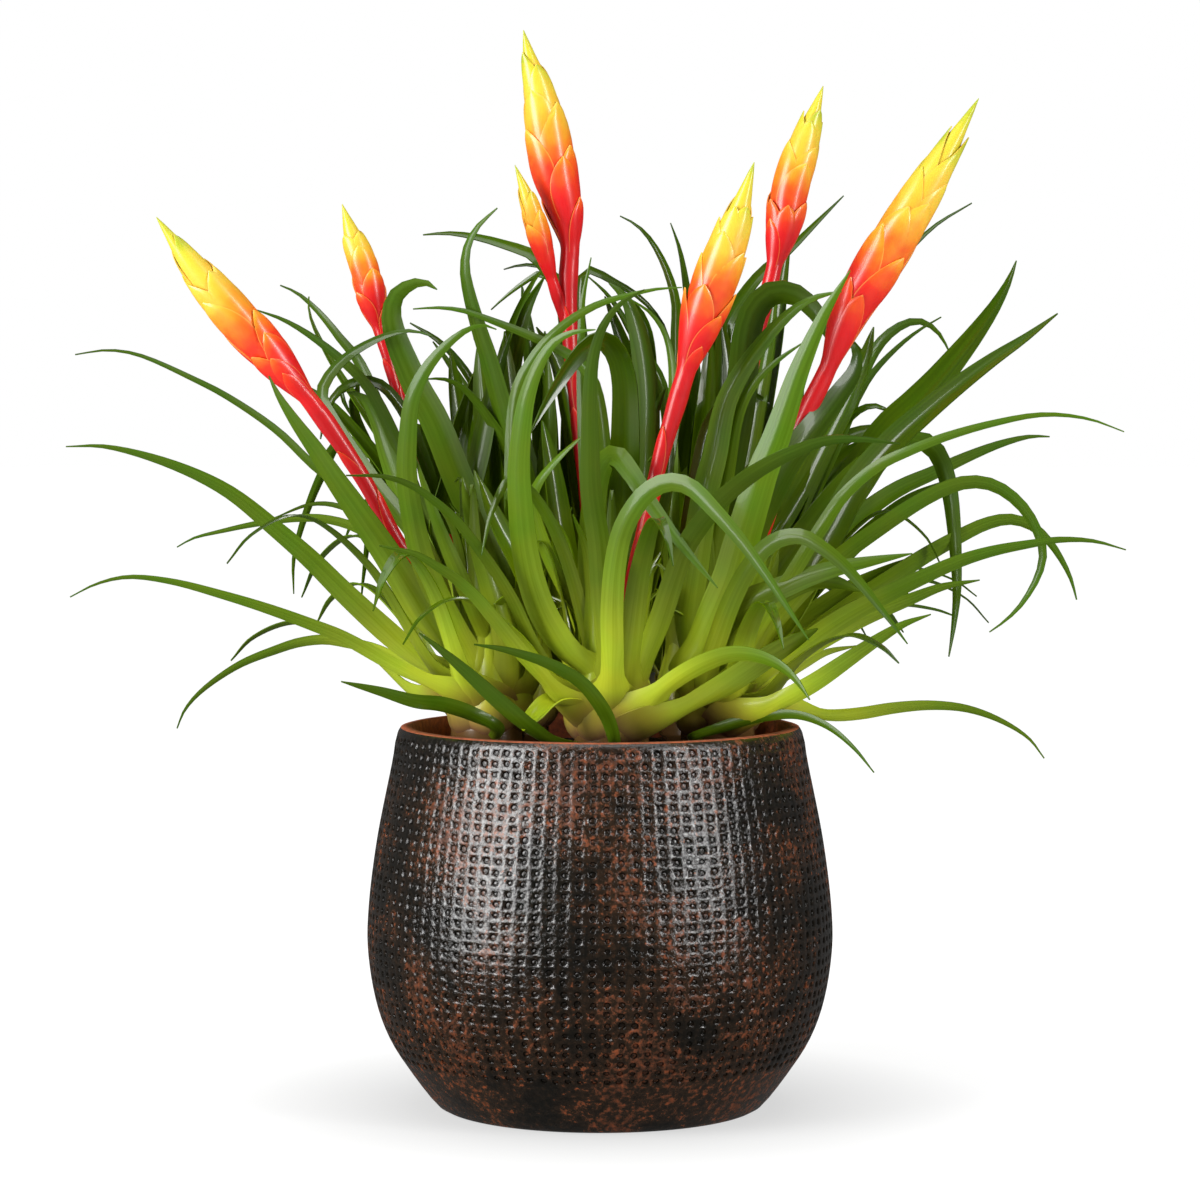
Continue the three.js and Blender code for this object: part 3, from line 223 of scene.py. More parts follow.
# ---------- the leaves that are drawn ----------
# The leaves that give the plant its outline, as the frame has them: (plant, width, roll, points
# from the sheath to the tip as (across, height, depth)), then, where they aren't the usual
# ones, the sheath's width, which is 0 for a leaf that comes out between others, and the
# fullness of the tip. Roll turns the upper face towards the front, in degrees.
LEAVES = [
    ("left_front", 17, 50, [(-99, 291, -28), (-128, 313, -34), (-160, 342, -39), (-181, 362, -42),
        (-202, 383, -45), (-226, 404, -48), (-260, 431, -52), (-300, 450, -56), (-345, 462, -60),
        (-372, 462, -62)]),
    ("left_front", 10, 50, [(-105, 287, -50), (-146, 310, -62), (-180, 329, -72),
        (-200, 337, -78), (-230, 348, -85), (-262, 358, -92), (-300, 368, -99), (-330, 371, -105),
        (-352, 366, -110), (-370, 357, -114)]),
    ("left_front", 7, 40, [(-119, 298, -5), (-154, 319, 0), (-178, 325, 4), (-192, 327, 6),
        (-210, 325, 8), (-226, 320, 10), (-253, 309, 14), (-280, 290, 16), (-291, 277, 17),
        (-296, 265, 18)]),
    ("left_front", 11, 30, [(-72, 264, -60), (-90, 274, -72), (-110, 281, -92), (-130, 284, -112),
        (-154, 291, -130), (-181, 298, -150)], 0),
    ("left_front", 20, -35, [(-92, 298, -30), (-107, 320, -36), (-122, 341, -42),
        (-134, 361, -47), (-148, 384, -51), (-160, 402, -54), (-173, 421, -56), (-186, 440, -58),
        (-199, 460, -59), (-213, 480, -60), (-224, 498, -60), (-230, 511, -60)]),
    ("left_front", 16, 0, [(-91, 312, -38), (-103, 335, -46), (-114, 357, -54), (-125, 385, -64),
        (-131, 412, -72), (-135, 442, -82), (-134, 470, -91), (-131, 494, -98), (-122, 514, -104),
        (-108, 531, -108), (-92, 543, -110), (-81, 546, -110), (-72, 543, -110)]),
    ("left_front", 13, 0, [(-76, 320, -32), (-87, 348, -38), (-100, 376, -42), (-112, 405, -45),
        (-123, 436, -47), (-129, 456, -48)]),
    ("left_front", 12, 40, [(-118, 380, -5), (-160, 440, 5), (-185, 478, 8), (-194, 498, 8),
        (-188, 512, 6), (-175, 525, 3), (-160, 534, 0), (-145, 540, -4), (-130, 542, -8),
        (-117, 538, -10)]),
    ("left_back", 6, 40, [(-94, 320, 62), (-116, 361, 66), (-144, 396, 69), (-174, 428, 71),
        (-199, 448, 72), (-225, 473, 76), (-260, 497, 82), (-281, 508, 84), (-322, 526, 92),
        (-343, 529, 95), (-365, 526, 98)]),
    ("left_back", 7, 40, [(-105, 335, 60), (-145, 385, 66), (-168, 404, 70), (-190, 411, 74),
        (-209, 412, 78), (-240, 408, 84), (-264, 403, 88), (-284, 398, 92), (-295, 392, 94)]),
    ("left_back", 6, 40, [(-110, 350, 70), (-150, 400, 90), (-178, 419, 100), (-200, 422, 108),
        (-228, 412, 116)]),
    ("left_back", 10, 30, [(-95, 340, 66), (-125, 410, 80), (-158, 456, 92), (-181, 465, 100),
        (-194, 442, 106), (-203, 421, 110), (-210, 400, 113), (-214, 382, 116), (-214, 359, 118)]),
    ("left_back", 9, 30, [(-90, 350, 80), (-115, 410, 100), (-140, 436, 112), (-155, 425, 120),
        (-165, 373, 128), (-167, 354, 130)]),
    ("left_back", 20, 0, [(-60, 345, 46), (-69, 365, 45), (-82, 400, 43), (-99, 440, 40),
        (-115, 480, 36), (-127, 502, 34), (-135, 520, 32), (-142, 538, 30), (-145, 553, 29),
        (-142, 566, 27), (-132, 574, 24), (-122, 576, 22), (-113, 571, 20)], 44, 7),
    ("left_back", 12, 30, [(-100, 360, 80), (-140, 450, 100), (-168, 521, 111), (-180, 536, 113),
        (-190, 549, 115), (-200, 560, 118), (-211, 569, 120), (-222, 574, 122)]),
    ("left_back", 9, 0, [(-95, 360, 72), (-135, 440, 80), (-186, 520, 88), (-193, 533, 90),
        (-199, 546, 91), (-202, 556, 92), (-202, 566, 93)]),
    ("left_back", 11, 30, [(-105, 360, 58), (-128, 425, 55), (-148, 478, 53), (-163, 505, 52),
        (-180, 522, 52), (-200, 538, 54), (-220, 550, 56), (-239, 557, 58)]),
    ("left_back", 10, 30, [(-58, 350, 38), (-62, 440, 34), (-58, 500, 32), (-49, 519, 31),
        (-37, 535, 30), (-20, 550, 29), (0, 561, 27), (21, 567, 25), (40, 571, 23), (57, 572, 22)]),
    ("left_back", 15, 0, [(-62, 360, 88), (-71, 430, 98), (-73, 480, 104), (-68, 520, 109),
        (-62, 542, 112), (-54, 562, 114), (-46, 577, 116), (-37, 589, 118)]),
    ("middle_back", 17, 0, [(-28, 340, 62), (-45, 400, 54), (-57, 450, 49), (-66, 480, 46),
        (-78, 523, 41), (-85, 545, 38), (-91, 567, 35), (-94, 585, 33), (-92, 601, 31),
        (-85, 614, 29), (-71, 627, 27)]),
    ("middle_back", 12, 30, [(-25, 350, 70), (-50, 430, 60), (-67, 465, 52), (-76, 479, 49),
        (-86, 493, 46), (-97, 504, 42), (-109, 509, 39), (-121, 509, 36)]),
    ("middle_back", 15, 40, [(-8, 350, 100), (-8, 450, 116), (-20, 550, 130), (-45, 593, 136),
        (-64, 601, 138), (-85, 607, 140), (-105, 610, 142), (-123, 609, 144)]),
    ("middle_back", 10, 40, [(2, 350, 60), (4, 450, 48), (-6, 510, 42), (-21, 525, 40),
        (-38, 534, 38), (-54, 541, 36), (-80, 551, 33), (-95, 556, 31), (-112, 558, 30),
        (-130, 557, 28)]),
    ("middle_back", 11, 30, [(-14, 360, 104), (-22, 470, 124), (-30, 570, 136), (-41, 582, 141),
        (-54, 575, 146), (-66, 566, 149), (-76, 557, 152)]),
    ("middle_back", 11, 0, [(-2, 350, 62), (-10, 450, 56), (-13, 529, 52), (-12, 562, 51),
        (-6, 593, 50)]),
    ("middle_back", 10, 30, [(6, 360, 96), (-4, 480, 108), (-14, 560, 113), (-10, 584, 116),
        (12, 575, 119), (27, 566, 121), (38, 555, 123), (46, 543, 126), (50, 529, 128)]),
    ("middle_front", 12, 20, [(-36, 255, -96), (-48, 263, -108), (-66, 279, -120),
        (-80, 292, -128), (-94, 305, -135), (-110, 319, -142), (-126, 332, -148)], 0),
    ("middle_front", 8, 30, [(-21, 284, -66), (-44, 318, -84), (-62, 356, -98), (-75, 377, -105),
        (-88, 395, -112), (-100, 410, -118), (-113, 422, -124), (-130, 434, -130),
        (-150, 441, -137), (-177, 442, -146)]),
    ("middle_front", 10, 30, [(-24, 276, -78), (-36, 295, -94), (-56, 319, -110),
        (-76, 344, -124), (-88, 358, -130), (-100, 369, -136), (-115, 379, -144),
        (-129, 387, -152), (-154, 393, -162)]),
    ("middle_front", 18, 0, [(-6, 300, -72), (-24, 318, -80), (-38, 340, -86), (-47, 363, -93),
        (-53, 390, -102), (-56, 420, -110), (-57, 446, -116), (-55, 472, -123), (-51, 496, -129),
        (-43, 518, -135), (-32, 534, -141), (-19, 541, -147), (-3, 543, -152)]),
    ("middle_front", 22, 0, [(12, 330, -36), (14, 368, -34), (16, 404, -37), (17, 440, -40),
        (18, 480, -46), (17, 508, -51), (12, 526, -57), (3, 536, -64), (-7, 533, -72),
        (-18, 522, -80), (-30, 504, -89), (-40, 487, -96), (-48, 471, -102)]),
    ("middle_front", 15, 0, [(7, 298, -80), (5, 330, -90), (2, 360, -99), (-1, 395, -110),
        (-6, 430, -119), (-7, 465, -127), (-7, 495, -133), (-5, 522, -138), (2, 545, -143),
        (14, 561, -148), (31, 571, -152)]),
    ("middle_front", 14, 30, [(8, 290, -96), (8, 320, -112), (8, 350, -123), (10, 378, -132),
        (15, 402, -140), (23, 418, -147), (34, 431, -154), (48, 437, -161), (62, 434, -168),
        (80, 417, -178), (100, 394, -188), (116, 372, -196), (132, 348, -203), (146, 327, -208)]),
    ("middle_front", 17, 20, [(-6, 330, -40), (-7, 400, -46), (0, 446, -60), (10, 456, -72),
        (20, 446, -84), (34, 424, -98), (50, 402, -110), (66, 382, -122), (82, 363, -132)]),
    ("middle_front", 9, 20, [(10, 256, -100), (6, 270, -110), (-2, 284, -124), (-12, 296, -136),
        (-25, 305, -150), (-40, 312, -163), (-55, 317, -175), (-70, 321, -187),
        (-88, 324, -202)], 0),
    ("middle_front", 13, 30, [(28, 270, -86), (43, 290, -104), (58, 302, -116), (74, 311, -128),
        (88, 316, -139), (101, 317, -148), (115, 314, -156), (127, 308, -163), (137, 299, -168),
        (147, 285, -174)]),
    ("middle_front", 14, 25, [(24, 291, -74), (33, 315, -82), (42, 340, -90), (50, 365, -99),
        (60, 392, -110), (73, 411, -118), (85, 425, -124), (100, 438, -130), (115, 448, -136),
        (135, 458, -142), (158, 466, -148), (182, 467, -154), (209, 464, -160)]),
    ("middle_front", 10, 30, [(-16, 340, -48), (-38, 390, -54), (-47, 424, -60), (-43, 436, -66),
        (-34, 448, -72), (-21, 461, -80), (-9, 471, -88)]),
    ("middle_front", 9, 30, [(-10, 330, -64), (-30, 400, -76), (-52, 434, -86), (-64, 438, -94),
        (-71, 427, -99), (-77, 412, -104), (-83, 386, -116)]),
    ("right_back", 11, 0, [(55, 360, 66), (50, 450, 80), (42, 507, 90), (32, 525, 94),
        (22, 541, 98), (13, 557, 101), (3, 570, 103), (-8, 580, 105)]),
    ("right_back", 13, 0, [(66, 380, 92), (67, 480, 115), (63, 545, 124), (59, 580, 129),
        (55, 600, 131), (49, 617, 133)]),
    ("right_back", 12, 0, [(58, 370, 78), (54, 470, 100), (53, 541, 112), (53, 560, 114),
        (49, 577, 116), (43, 592, 118), (34, 607, 119), (25, 616, 121), (14, 622, 122)]),
    ("right_back", 10, 0, [(50, 360, 50), (50, 460, 56), (50, 520, 59), (45, 541, 60),
        (35, 555, 61), (22, 564, 62)]),
    ("right_back", 14, 30, [(110, 350, 60), (142, 420, 70), (165, 470, 76), (180, 505, 82),
        (188, 523, 85), (197, 536, 88), (208, 545, 91), (219, 549, 94), (228, 547, 97),
        (237, 539, 100), (244, 526, 103)]),
    ("right_back", 8, 30, [(105, 350, 52), (150, 450, 58), (176, 490, 60), (189, 512, 62),
        (208, 532, 65), (222, 543, 66), (237, 552, 68)]),
    ("right_back", 14, 0, [(74, 380, 80), (82, 480, 100), (88, 546, 112), (98, 564, 115),
        (113, 583, 119), (130, 597, 122), (150, 617, 126), (169, 636, 130)]),
    ("right_back", 21, 0, [(76, 380, 40), (89, 440, 33), (98, 490, 29), (101, 520, 27),
        (103, 540, 25), (108, 556, 23), (118, 567, 20), (132, 568, 17), (144, 561, 14),
        (153, 550, 10), (160, 538, 8), (166, 524, 8)], 46, 7),
    ("right_back", 8, 0, [(100, 380, 70), (150, 500, 90), (200, 580, 100), (231, 614, 106),
        (258, 631, 110)]),
    ("right_front", 9, 50, [(64, 257, -50), (80, 263, -54), (100, 270, -60), (120, 274, -68),
        (140, 274, -80), (160, 266, -92), (178, 251, -102), (192, 234, -108)], 0),
    ("right_front", 10, 50, [(110, 270, -22), (138, 274, -28), (162, 273, -33), (182, 275, -37),
        (205, 279, -41), (230, 281, -44), (255, 279, -47), (279, 271, -50), (300, 258, -52),
        (311, 244, -54)]),
    ("right_front", 19, 0, [(59, 330, -30), (65, 380, -38), (73, 432, -44), (79, 455, -46),
        (87, 492, -50), (97, 512, -52), (108, 528, -55), (122, 545, -58), (138, 559, -61),
        (152, 566, -64), (168, 569, -66)]),
    ("right_front", 12, 0, [(76, 360, -34), (88, 440, -42), (98, 488, -48), (108, 506, -52),
        (123, 521, -56), (143, 535, -61)]),
    ("right_front", 24, 0, [(58, 300, -48), (71, 322, -56), (80, 343, -63), (90, 368, -72),
        (98, 395, -80), (107, 425, -88), (114, 447, -93), (121, 464, -97), (129, 487, -102),
        (137, 511, -107), (147, 535, -112), (157, 556, -116), (166, 571, -118), (174, 584, -120)]),
    ("right_front", 29, -30, [(112, 319, 2), (158, 407, 8), (182, 443, 10), (202, 473, 12),
        (219, 490, 14), (234, 506, 15), (248, 523, 16), (262, 541, 17), (275, 560, 18),
        (284, 577, 19), (289, 591, 20)]),
    ("right_front", 21, -30, [(119, 319, -26), (163, 404, -38), (181, 437, -42),
        (204, 464.5, -46), (227, 485.5, -50), (250, 504.5, -54), (274, 522.5, -58),
        (296, 537.5, -62), (318, 554.5, -66)]),
    ("right_front", 11, 50, [(105, 326, -66), (130, 366, -77), (154, 405, -90), (170, 428, -98),
        (193, 448, -106), (216, 459, -114), (239, 468, -120), (274, 478, -128), (309, 484, -136),
        (340, 481, -142), (365, 472, -146)]),
    ("right_front", 14, 40, [(122, 340, 14), (150, 380, 22), (170, 403, 27), (190, 420, 31),
        (210, 433, 35), (232, 443, 39), (255, 454, 42), (280, 464, 45), (300, 469, 48),
        (313, 469, 50)]),
    ("right_front", 16, 40, [(110, 350, -12), (150, 410, -14), (180, 444, -16), (205, 461, -18),
        (220, 466, -20), (231, 461, -22), (238, 450, -23), (243, 432, -24), (246, 410, -26),
        (248, 385, -27), (249, 360, -28), (247, 336, -28), (244, 315, -28)]),
    ("right_front", 11, 40, [(118, 330, -40), (150, 370, -52), (195, 405, -64), (231, 428, -72),
        (251, 436, -76), (264, 437, -78), (276, 434, -80), (287, 427, -82), (296, 418, -84),
        (304, 405, -85), (309, 390, -86), (307, 375, -87), (301, 362, -87), (293, 350, -88),
        (283, 340, -88), (272, 332, -88)]),
    ("right_front", 12, 40, [(112, 300, -10), (148, 330, -14), (180, 354, -17), (205, 371, -20),
        (228, 386, -22), (251, 399, -24), (270, 408, -26), (286, 411, -27), (300, 407, -28),
        (312, 397, -29), (322, 383, -30), (329, 369, -31), (333, 355, -31)]),
    ("right_front", 15, 45, [(104, 290, -38), (135, 317, -54), (170, 342, -68), (205, 361, -80),
        (228, 372, -88), (251, 382, -94), (274, 389, -100), (300, 394, -106), (321, 397, -110),
        (345, 396, -114), (367, 390, -118)]),
    ("right_front", 13, 42, [(104, 284, -27), (122, 303, -30), (148, 322, -34), (180, 340, -40),
        (216, 355, -45), (239, 364, -48), (265, 369, -52)]),
    ("right_front", 13, 40, [(103, 268, -58), (119, 279, -72), (147, 295, -88), (182, 319, -106),
        (200, 331, -113), (212, 338, -120), (231, 345, -128)]),
    ("right_front", 8, 40, [(112, 285, -2), (142, 308, 4), (158, 318, 7), (179, 323, 10)]),
    ("right_front", 13, 40, [(74, 300, -62), (84, 335, -80), (94, 360, -93), (104, 378, -104),
        (115, 391, -112), (127, 398, -120), (141, 399, -127), (154, 392, -133), (168, 381, -138),
        (182, 366, -143), (195, 350, -148), (206, 336, -153), (215, 324, -156)]),
    ("right_front", 18, 40, [(78, 325, -44), (88, 342, -54), (105, 355, -66), (125, 363, -76),
        (145, 371, -84), (165, 377, -91), (190, 382, -97), (218, 387, -103)]),
    ("right_front", 13, 0, [(100, 360, 4), (130, 410, 10), (150, 444, 13), (163, 467, 14),
        (173, 481, 15), (184, 489, 16), (194, 490, 17), (202, 485, 18), (206, 478, 19)]),
]

# Leaves inside the clump, too many for the frame's plain solids, that fill it up between those,
# with rows like those above.
INNER_LEAVES = [
    ("left_back", 15, 0, [(-95, 330, 52), (-120, 380, 54), (-138, 425, 56), (-148, 455, 58),
        (-156, 480, 60), (-166, 497, 61), (-176, 500, 62)]),
    ("left_back", 10, 0, [(-100, 350, 70), (-130, 415, 76), (-150, 447, 80), (-170, 472, 84),
        (-188, 492, 86), (-205, 505, 88)]),
    ("left_back", 8, 0, [(-110, 370, 84), (-150, 440, 90), (-172, 490, 95), (-168, 505, 97),
        (-180, 500, 99), (-177, 490, 100), (-172, 481, 101)]),
    ("left_back", 8, 0, [(-112, 420, 60), (-138, 488, 58), (-155, 506, 57), (-170, 507, 56),
        (-183, 499, 55), (-191, 485, 54), (-195, 467, 53)]),
    ("middle_back", 7, 0, [(-40, 400, 110), (-62, 450, 112), (-80, 490, 114), (-97, 519, 116),
        (-113, 536, 118), (-132, 548, 120)]),
    ("middle_back", 9, 0, [(-45, 400, 96), (-68, 455, 98), (-88, 492, 100), (-103, 517, 102),
        (-116, 535, 104)]),
    ("middle_back", 10, 0, [(-20, 400, 120), (-12, 480, 124), (-22, 528, 126), (-38, 537, 128),
        (-55, 528, 129), (-72, 512, 130), (-80, 500, 131)]),
    ("middle_back", 6, 0, [(-10, 400, 130), (-15, 520, 140), (-25, 575, 146), (-42, 587, 150),
        (-55, 588, 152), (-67, 585, 154)]),
    ("middle_back", 17, 0, [(-10, 300, 90), (-16, 380, 96), (-20, 440, 100), (-21, 500, 104),
        (-23, 535, 106)]),
    ("middle_back", 12, 0, [(-20, 300, 96), (-30, 380, 104), (-34, 440, 110), (-36, 500, 114),
        (-42, 522, 116)]),
    ("left_back", 14, 0, [(-50, 330, 100), (-66, 400, 110), (-80, 450, 116), (-92, 485, 120),
        (-100, 505, 124)]),
    ("left_back", 14, 0, [(-45, 330, 110), (-60, 410, 122), (-72, 470, 128), (-78, 520, 132),
        (-88, 537, 134)]),
    ("middle_back", 15, 0, [(-40, 330, 120), (-55, 420, 132), (-62, 480, 138), (-60, 520, 142),
        (-50, 545, 146)]),
    ("left_back", 16, 0, [(-60, 340, 84), (-78, 390, 88), (-95, 425, 92), (-112, 455, 95),
        (-127, 475, 97), (-138, 478, 98)]),
    ("middle_back", 14, 0, [(25, 330, 60), (30, 400, 64), (33, 450, 66), (38, 485, 68),
        (45, 502, 70)]),
    ("middle_back", 11, 0, [(20, 400, 100), (34, 480, 106), (35, 525, 110), (32, 545, 112),
        (24, 560, 114), (12, 566, 116)]),
    ("right_back", 14, 0, [(35, 330, 84), (45, 400, 90), (55, 450, 94), (60, 480, 97),
        (62, 500, 99)]),
    ("right_back", 18, 0, [(50, 330, 90), (60, 400, 98), (68, 450, 104), (74, 490, 108),
        (78, 520, 112), (86, 550, 116)]),
    ("right_back", 16, 0, [(60, 330, 84), (78, 400, 90), (88, 450, 96), (92, 490, 100),
        (90, 520, 104), (84, 552, 108)]),
    ("right_back", 14, 0, [(60, 380, 70), (68, 440, 76), (78, 480, 80), (92, 496, 84),
        (106, 498, 88), (118, 492, 92)]),
    ("right_front", 20, 0, [(105, 330, 40), (125, 375, 46), (143, 415, 52), (160, 443, 56),
        (180, 460, 58), (200, 468, 60)]),
    ("right_back", 14, 0, [(100, 330, 60), (122, 385, 68), (142, 430, 74), (160, 458, 78),
        (176, 470, 80), (192, 474, 82), (206, 471, 84)]),
    ("right_front", 14, 0, [(95, 330, 50), (112, 370, 56), (128, 400, 60), (142, 425, 64),
        (155, 450, 66), (163, 465, 68)]),
    ("right_front", 12, 0, [(115, 320, 20), (140, 352, 24), (165, 380, 28), (190, 404, 32),
        (214, 424, 35), (237, 437, 38)]),
    ("right_front", 15, 0, [(88, 325, -50), (105, 345, -56), (125, 358, -62), (145, 367, -67),
        (165, 367, -71), (182, 361, -74)]),
    ("right_front", 14, 0, [(110, 360, 20), (140, 420, 24), (160, 465, 26), (174, 497, 27),
        (182, 517, 28), (178, 532, 29), (170, 536, 30)]),
    ("middle_front", 16, 0, [(38, 262, -84), (60, 276, -88), (85, 292, -90), (108, 308, -90),
        (130, 322, -90), (152, 335, -90)]),
    ("left_front", 16, 0, [(-42, 300, -20), (-48, 330, -24), (-56, 355, -26), (-66, 385, -28),
        (-76, 415, -28), (-88, 445, -26)]),
    ("left_front", 17, 0, [(-62, 300, -40), (-66, 335, -44), (-76, 370, -44), (-86, 405, -40),
        (-96, 440, -34)]),
    ("middle_front", 16, 0, [(-14, 330, -20), (-22, 370, -24), (-28, 410, -26), (-34, 450, -26),
        (-40, 480, -24)]),
    ("middle_front", 16, 0, [(24, 330, -26), (32, 370, -28), (40, 410, -28), (46, 440, -26),
        (50, 470, -22)]),
    ("middle_front", 15, 10, [(-28, 320, -40), (-42, 350, -44), (-56, 380, -46), (-72, 410, -46),
        (-84, 440, -44)]),
    ("middle_front", 17, 0, [(-30, 282, -86), (-46, 272, -100), (-54, 264, -110)], 20),
    ("right_front", 24, 0, [(84, 296, -20), (92, 318, -26), (101, 342, -30), (112, 364, -30),
        (124, 388, -26)]),
    ("right_front", 16, 0, [(90, 320, 10), (106, 370, 16), (118, 410, 20), (130, 440, 24),
        (142, 470, 28)]),
    ("middle_back", 19, 0, [(26, 380, 60), (32, 450, 62), (33, 500, 64), (27, 540, 66),
        (17, 566, 68), (6, 575, 70)]),
    ("left_back", 20, 0, [(-80, 340, 70), (-98, 400, 74), (-112, 450, 78), (-122, 490, 82),
        (-128, 512, 84)]),
    ("left_back", 19, 0, [(-66, 340, 76), (-80, 400, 80), (-91, 450, 84), (-99, 495, 88),
        (-104, 528, 90)]),
    ("left_back", 18, 0, [(-58, 340, 60), (-68, 400, 62), (-76, 450, 64), (-82, 500, 66),
        (-85, 535, 68)]),
    ("right_front", 20, 0, [(110, 340, 10), (128, 400, 12), (150, 450, 14), (170, 490, 16),
        (184, 522, 18), (190, 545, 20)]),
    ("right_back", 19, 0, [(112, 360, 40), (140, 420, 44), (164, 470, 48), (180, 505, 52),
        (192, 530, 56)]),
    ("right_back", 19, 0, [(100, 360, 50), (118, 420, 54), (130, 465, 58), (138, 500, 62),
        (141, 518, 64)]),
    ("right_back", 15, 0, [(100, 400, 90), (112, 480, 100), (122, 540, 108), (128, 585, 112),
        (132, 606, 114)]),
    ("middle_back", 15, 0, [(-30, 400, 110), (-42, 480, 118), (-50, 540, 124), (-54, 574, 128)]),
    ("right_front", 17, 40, [(110, 310, -6), (140, 335, -8), (170, 356, -10), (200, 372, -12),
        (225, 386, -14)]),
    ("middle_back", 18, 0, [(-30, 360, 84), (-46, 420, 88), (-58, 470, 92), (-64, 510, 96),
        (-66, 542, 100)]),
    ("middle_front", 17, 0, [(22, 340, -20), (34, 400, -16), (44, 450, -10), (52, 490, -2),
        (56, 515, 6)]),
    ("middle_back", 18, 0, [(-30, 330, 100), (-36, 400, 106), (-39, 450, 110), (-41, 500, 114),
        (-38, 542, 118)]),
    ("right_back", 16, 0, [(62, 360, 80), (68, 420, 86), (72, 470, 90), (75, 510, 94),
        (77, 545, 98)]),
    ("right_back", 16, 0, [(88, 380, 84), (102, 450, 90), (111, 500, 94), (118, 540, 98),
        (122, 572, 102)]),
    ("right_front", 16, 40, [(112, 290, -20), (140, 318, -28), (165, 338, -34), (190, 352, -40),
        (215, 360, -44)]),
    ("right_front", 19, 0, [(100, 380, -34), (113, 415, -36), (131, 451, -38), (151, 477, -30),
        (167, 498, -16), (178, 516, -8), (178, 529, -4), (171, 534, 2)]),
    ("left_back", 16, 0, [(-112, 400, 60), (-104, 440, 64), (-98, 472, 68), (-90, 500, 70),
        (-84, 520, 72)]),
    ("middle_back", 15, 0, [(-84, 380, 90), (-80, 430, 94), (-78, 463, 96), (-77, 502, 98)]),
    ("middle_back", 14, 0, [(-40, 400, 60), (-38, 440, 62), (-36, 480, 64), (-36, 524, 66)]),
    ("middle_back", 15, 0, [(-72, 420, 100), (-66, 490, 104), (-58, 534, 106), (-50, 560, 108),
        (-38, 580, 110)]),
    ("middle_back", 17, 0, [(-10, 400, 84), (-14, 440, 88), (-20, 480, 92), (-30, 520, 94),
        (-44, 545, 96)]),
    ("middle_back", 15, 0, [(34, 420, 90), (30, 470, 92), (22, 516, 94), (12, 545, 96),
        (3, 566, 98)]),
    ("left_back", 15, 0, [(-92, 420, 50), (-84, 460, 52), (-75, 500, 54), (-68, 524, 56),
        (-62, 540, 58)]),
]

# The rest of each rosette: arching leaves in a fan on its open side (facing, in degrees from
# +X) that reach out this far from the shortest to the longest, and short upright ones inside.
FANS = {
    "left_front": dict(seed=11, arching=4, upright=4, facing=200, sweep=130, reach=(120, 200)),
    "left_back": dict(seed=23, arching=7, upright=4, facing=108, sweep=84, reach=(190, 290)),
    "middle_back": dict(seed=37, arching=8, upright=4, facing=90, sweep=100, reach=(190, 290)),
    "middle_front": dict(seed=41, arching=2, upright=4, facing=270, sweep=120, reach=(90, 150)),
    "right_back": dict(seed=59, arching=8, upright=4, facing=70, sweep=84, reach=(190, 290)),
    "right_front": dict(seed=67, arching=3, upright=3, facing=340, sweep=120, reach=(110, 190)),
}


# ---------- numbers and curves ----------
def seeded(seed):
    """Draws from 0 to 1 that come out the same each run, for a leaf that grows by rule."""
    full = 0xFFFFFFFF
    state = seed

    def draw():
        nonlocal state
        state = (state + 0x6D2B79F5) & full
        t = ((state ^ (state >> 15)) * (state | 1)) & full
        t ^= (t + (((t ^ (t >> 7)) * (t | 61)) & full)) & full
        return ((t ^ (t >> 14)) & full) / (full + 1)

    return draw


def between(low, high, share):
    """The value that lies this share of the way from low to high."""
    return low + (high - low) * share


def eased(start, end, value):
    """How far the value is from start to end, from 0 to 1, setting off and arriving gently."""
    t = np.clip((value - start) / (end - start), 0, 1)
    return t * t * (3 - 2 * t)


def unit(vectors):
    """The vectors at a length of one."""
    return vectors / np.linalg.norm(vectors, axis=-1, keepdims=True)


def placed(point):
    """Where a point drawn on the front elevation lies once it has its depth."""
    across, height, depth = point
    spread = 1 + depth / EYE_DISTANCE
    return np.array([across * spread, depth, EYE_HEIGHT - (EYE_HEIGHT - height) * spread])


class Path:
    """A smooth curve through points, read by the share of its length."""

    SPAN = 24  # places worked out between one point and the next

    def __init__(self, points):
        points = [np.asarray(point, float) for point in points]
        ends = [2 * points[0] - points[1], *points, 2 * points[-1] - points[-2]]
        places = []
        for p0, p1, p2, p3 in zip(ends, ends[1:], ends[2:], ends[3:]):
            d0, d1, d2 = (np.linalg.norm(b - a) ** 0.5 for a, b in ((p0, p1), (p1, p2), (p2, p3)))
            m1 = ((p1 - p0) / d0 - (p2 - p0) / (d0 + d1) + (p2 - p1) / d1) * d1
            m2 = ((p2 - p1) / d1 - (p3 - p1) / (d1 + d2) + (p3 - p2) / d2) * d1
            t = np.linspace(0, 1, self.SPAN, endpoint=False)[:, None]
            start, end = 2 * t**3 - 3 * t**2 + 1, 3 * t**2 - 2 * t**3
            places.append(start * p1 + end * p2 + (t**3 - 2 * t**2 + t) * m1 + (t**3 - t**2) * m2)
        self.places = np.vstack([*places, points[-1]])
        steps = np.linalg.norm(np.diff(self.places, axis=0), axis=1)
        self.reached = np.concatenate([[0], np.cumsum(steps)])
        self.length = self.reached[-1]

    def at(self, shares):
        """The places at these shares of the length."""
        where = np.clip(shares, 0, 1) * self.length
        return np.stack([np.interp(where, self.reached, axis) for axis in self.places.T], axis=-1)

    def along(self, shares, reach=0.004):
        """The directions in which the path runs there."""
        return unit(self.at(np.asarray(shares) + reach) - self.at(np.asarray(shares) - reach))


def carried(directions, normal):
    """The normal taken along the directions with no twist of its own."""
    normals = []
    for direction in directions:
        normal = unit(normal - direction * (normal @ direction))
        normals.append(normal)
    return np.array(normals)


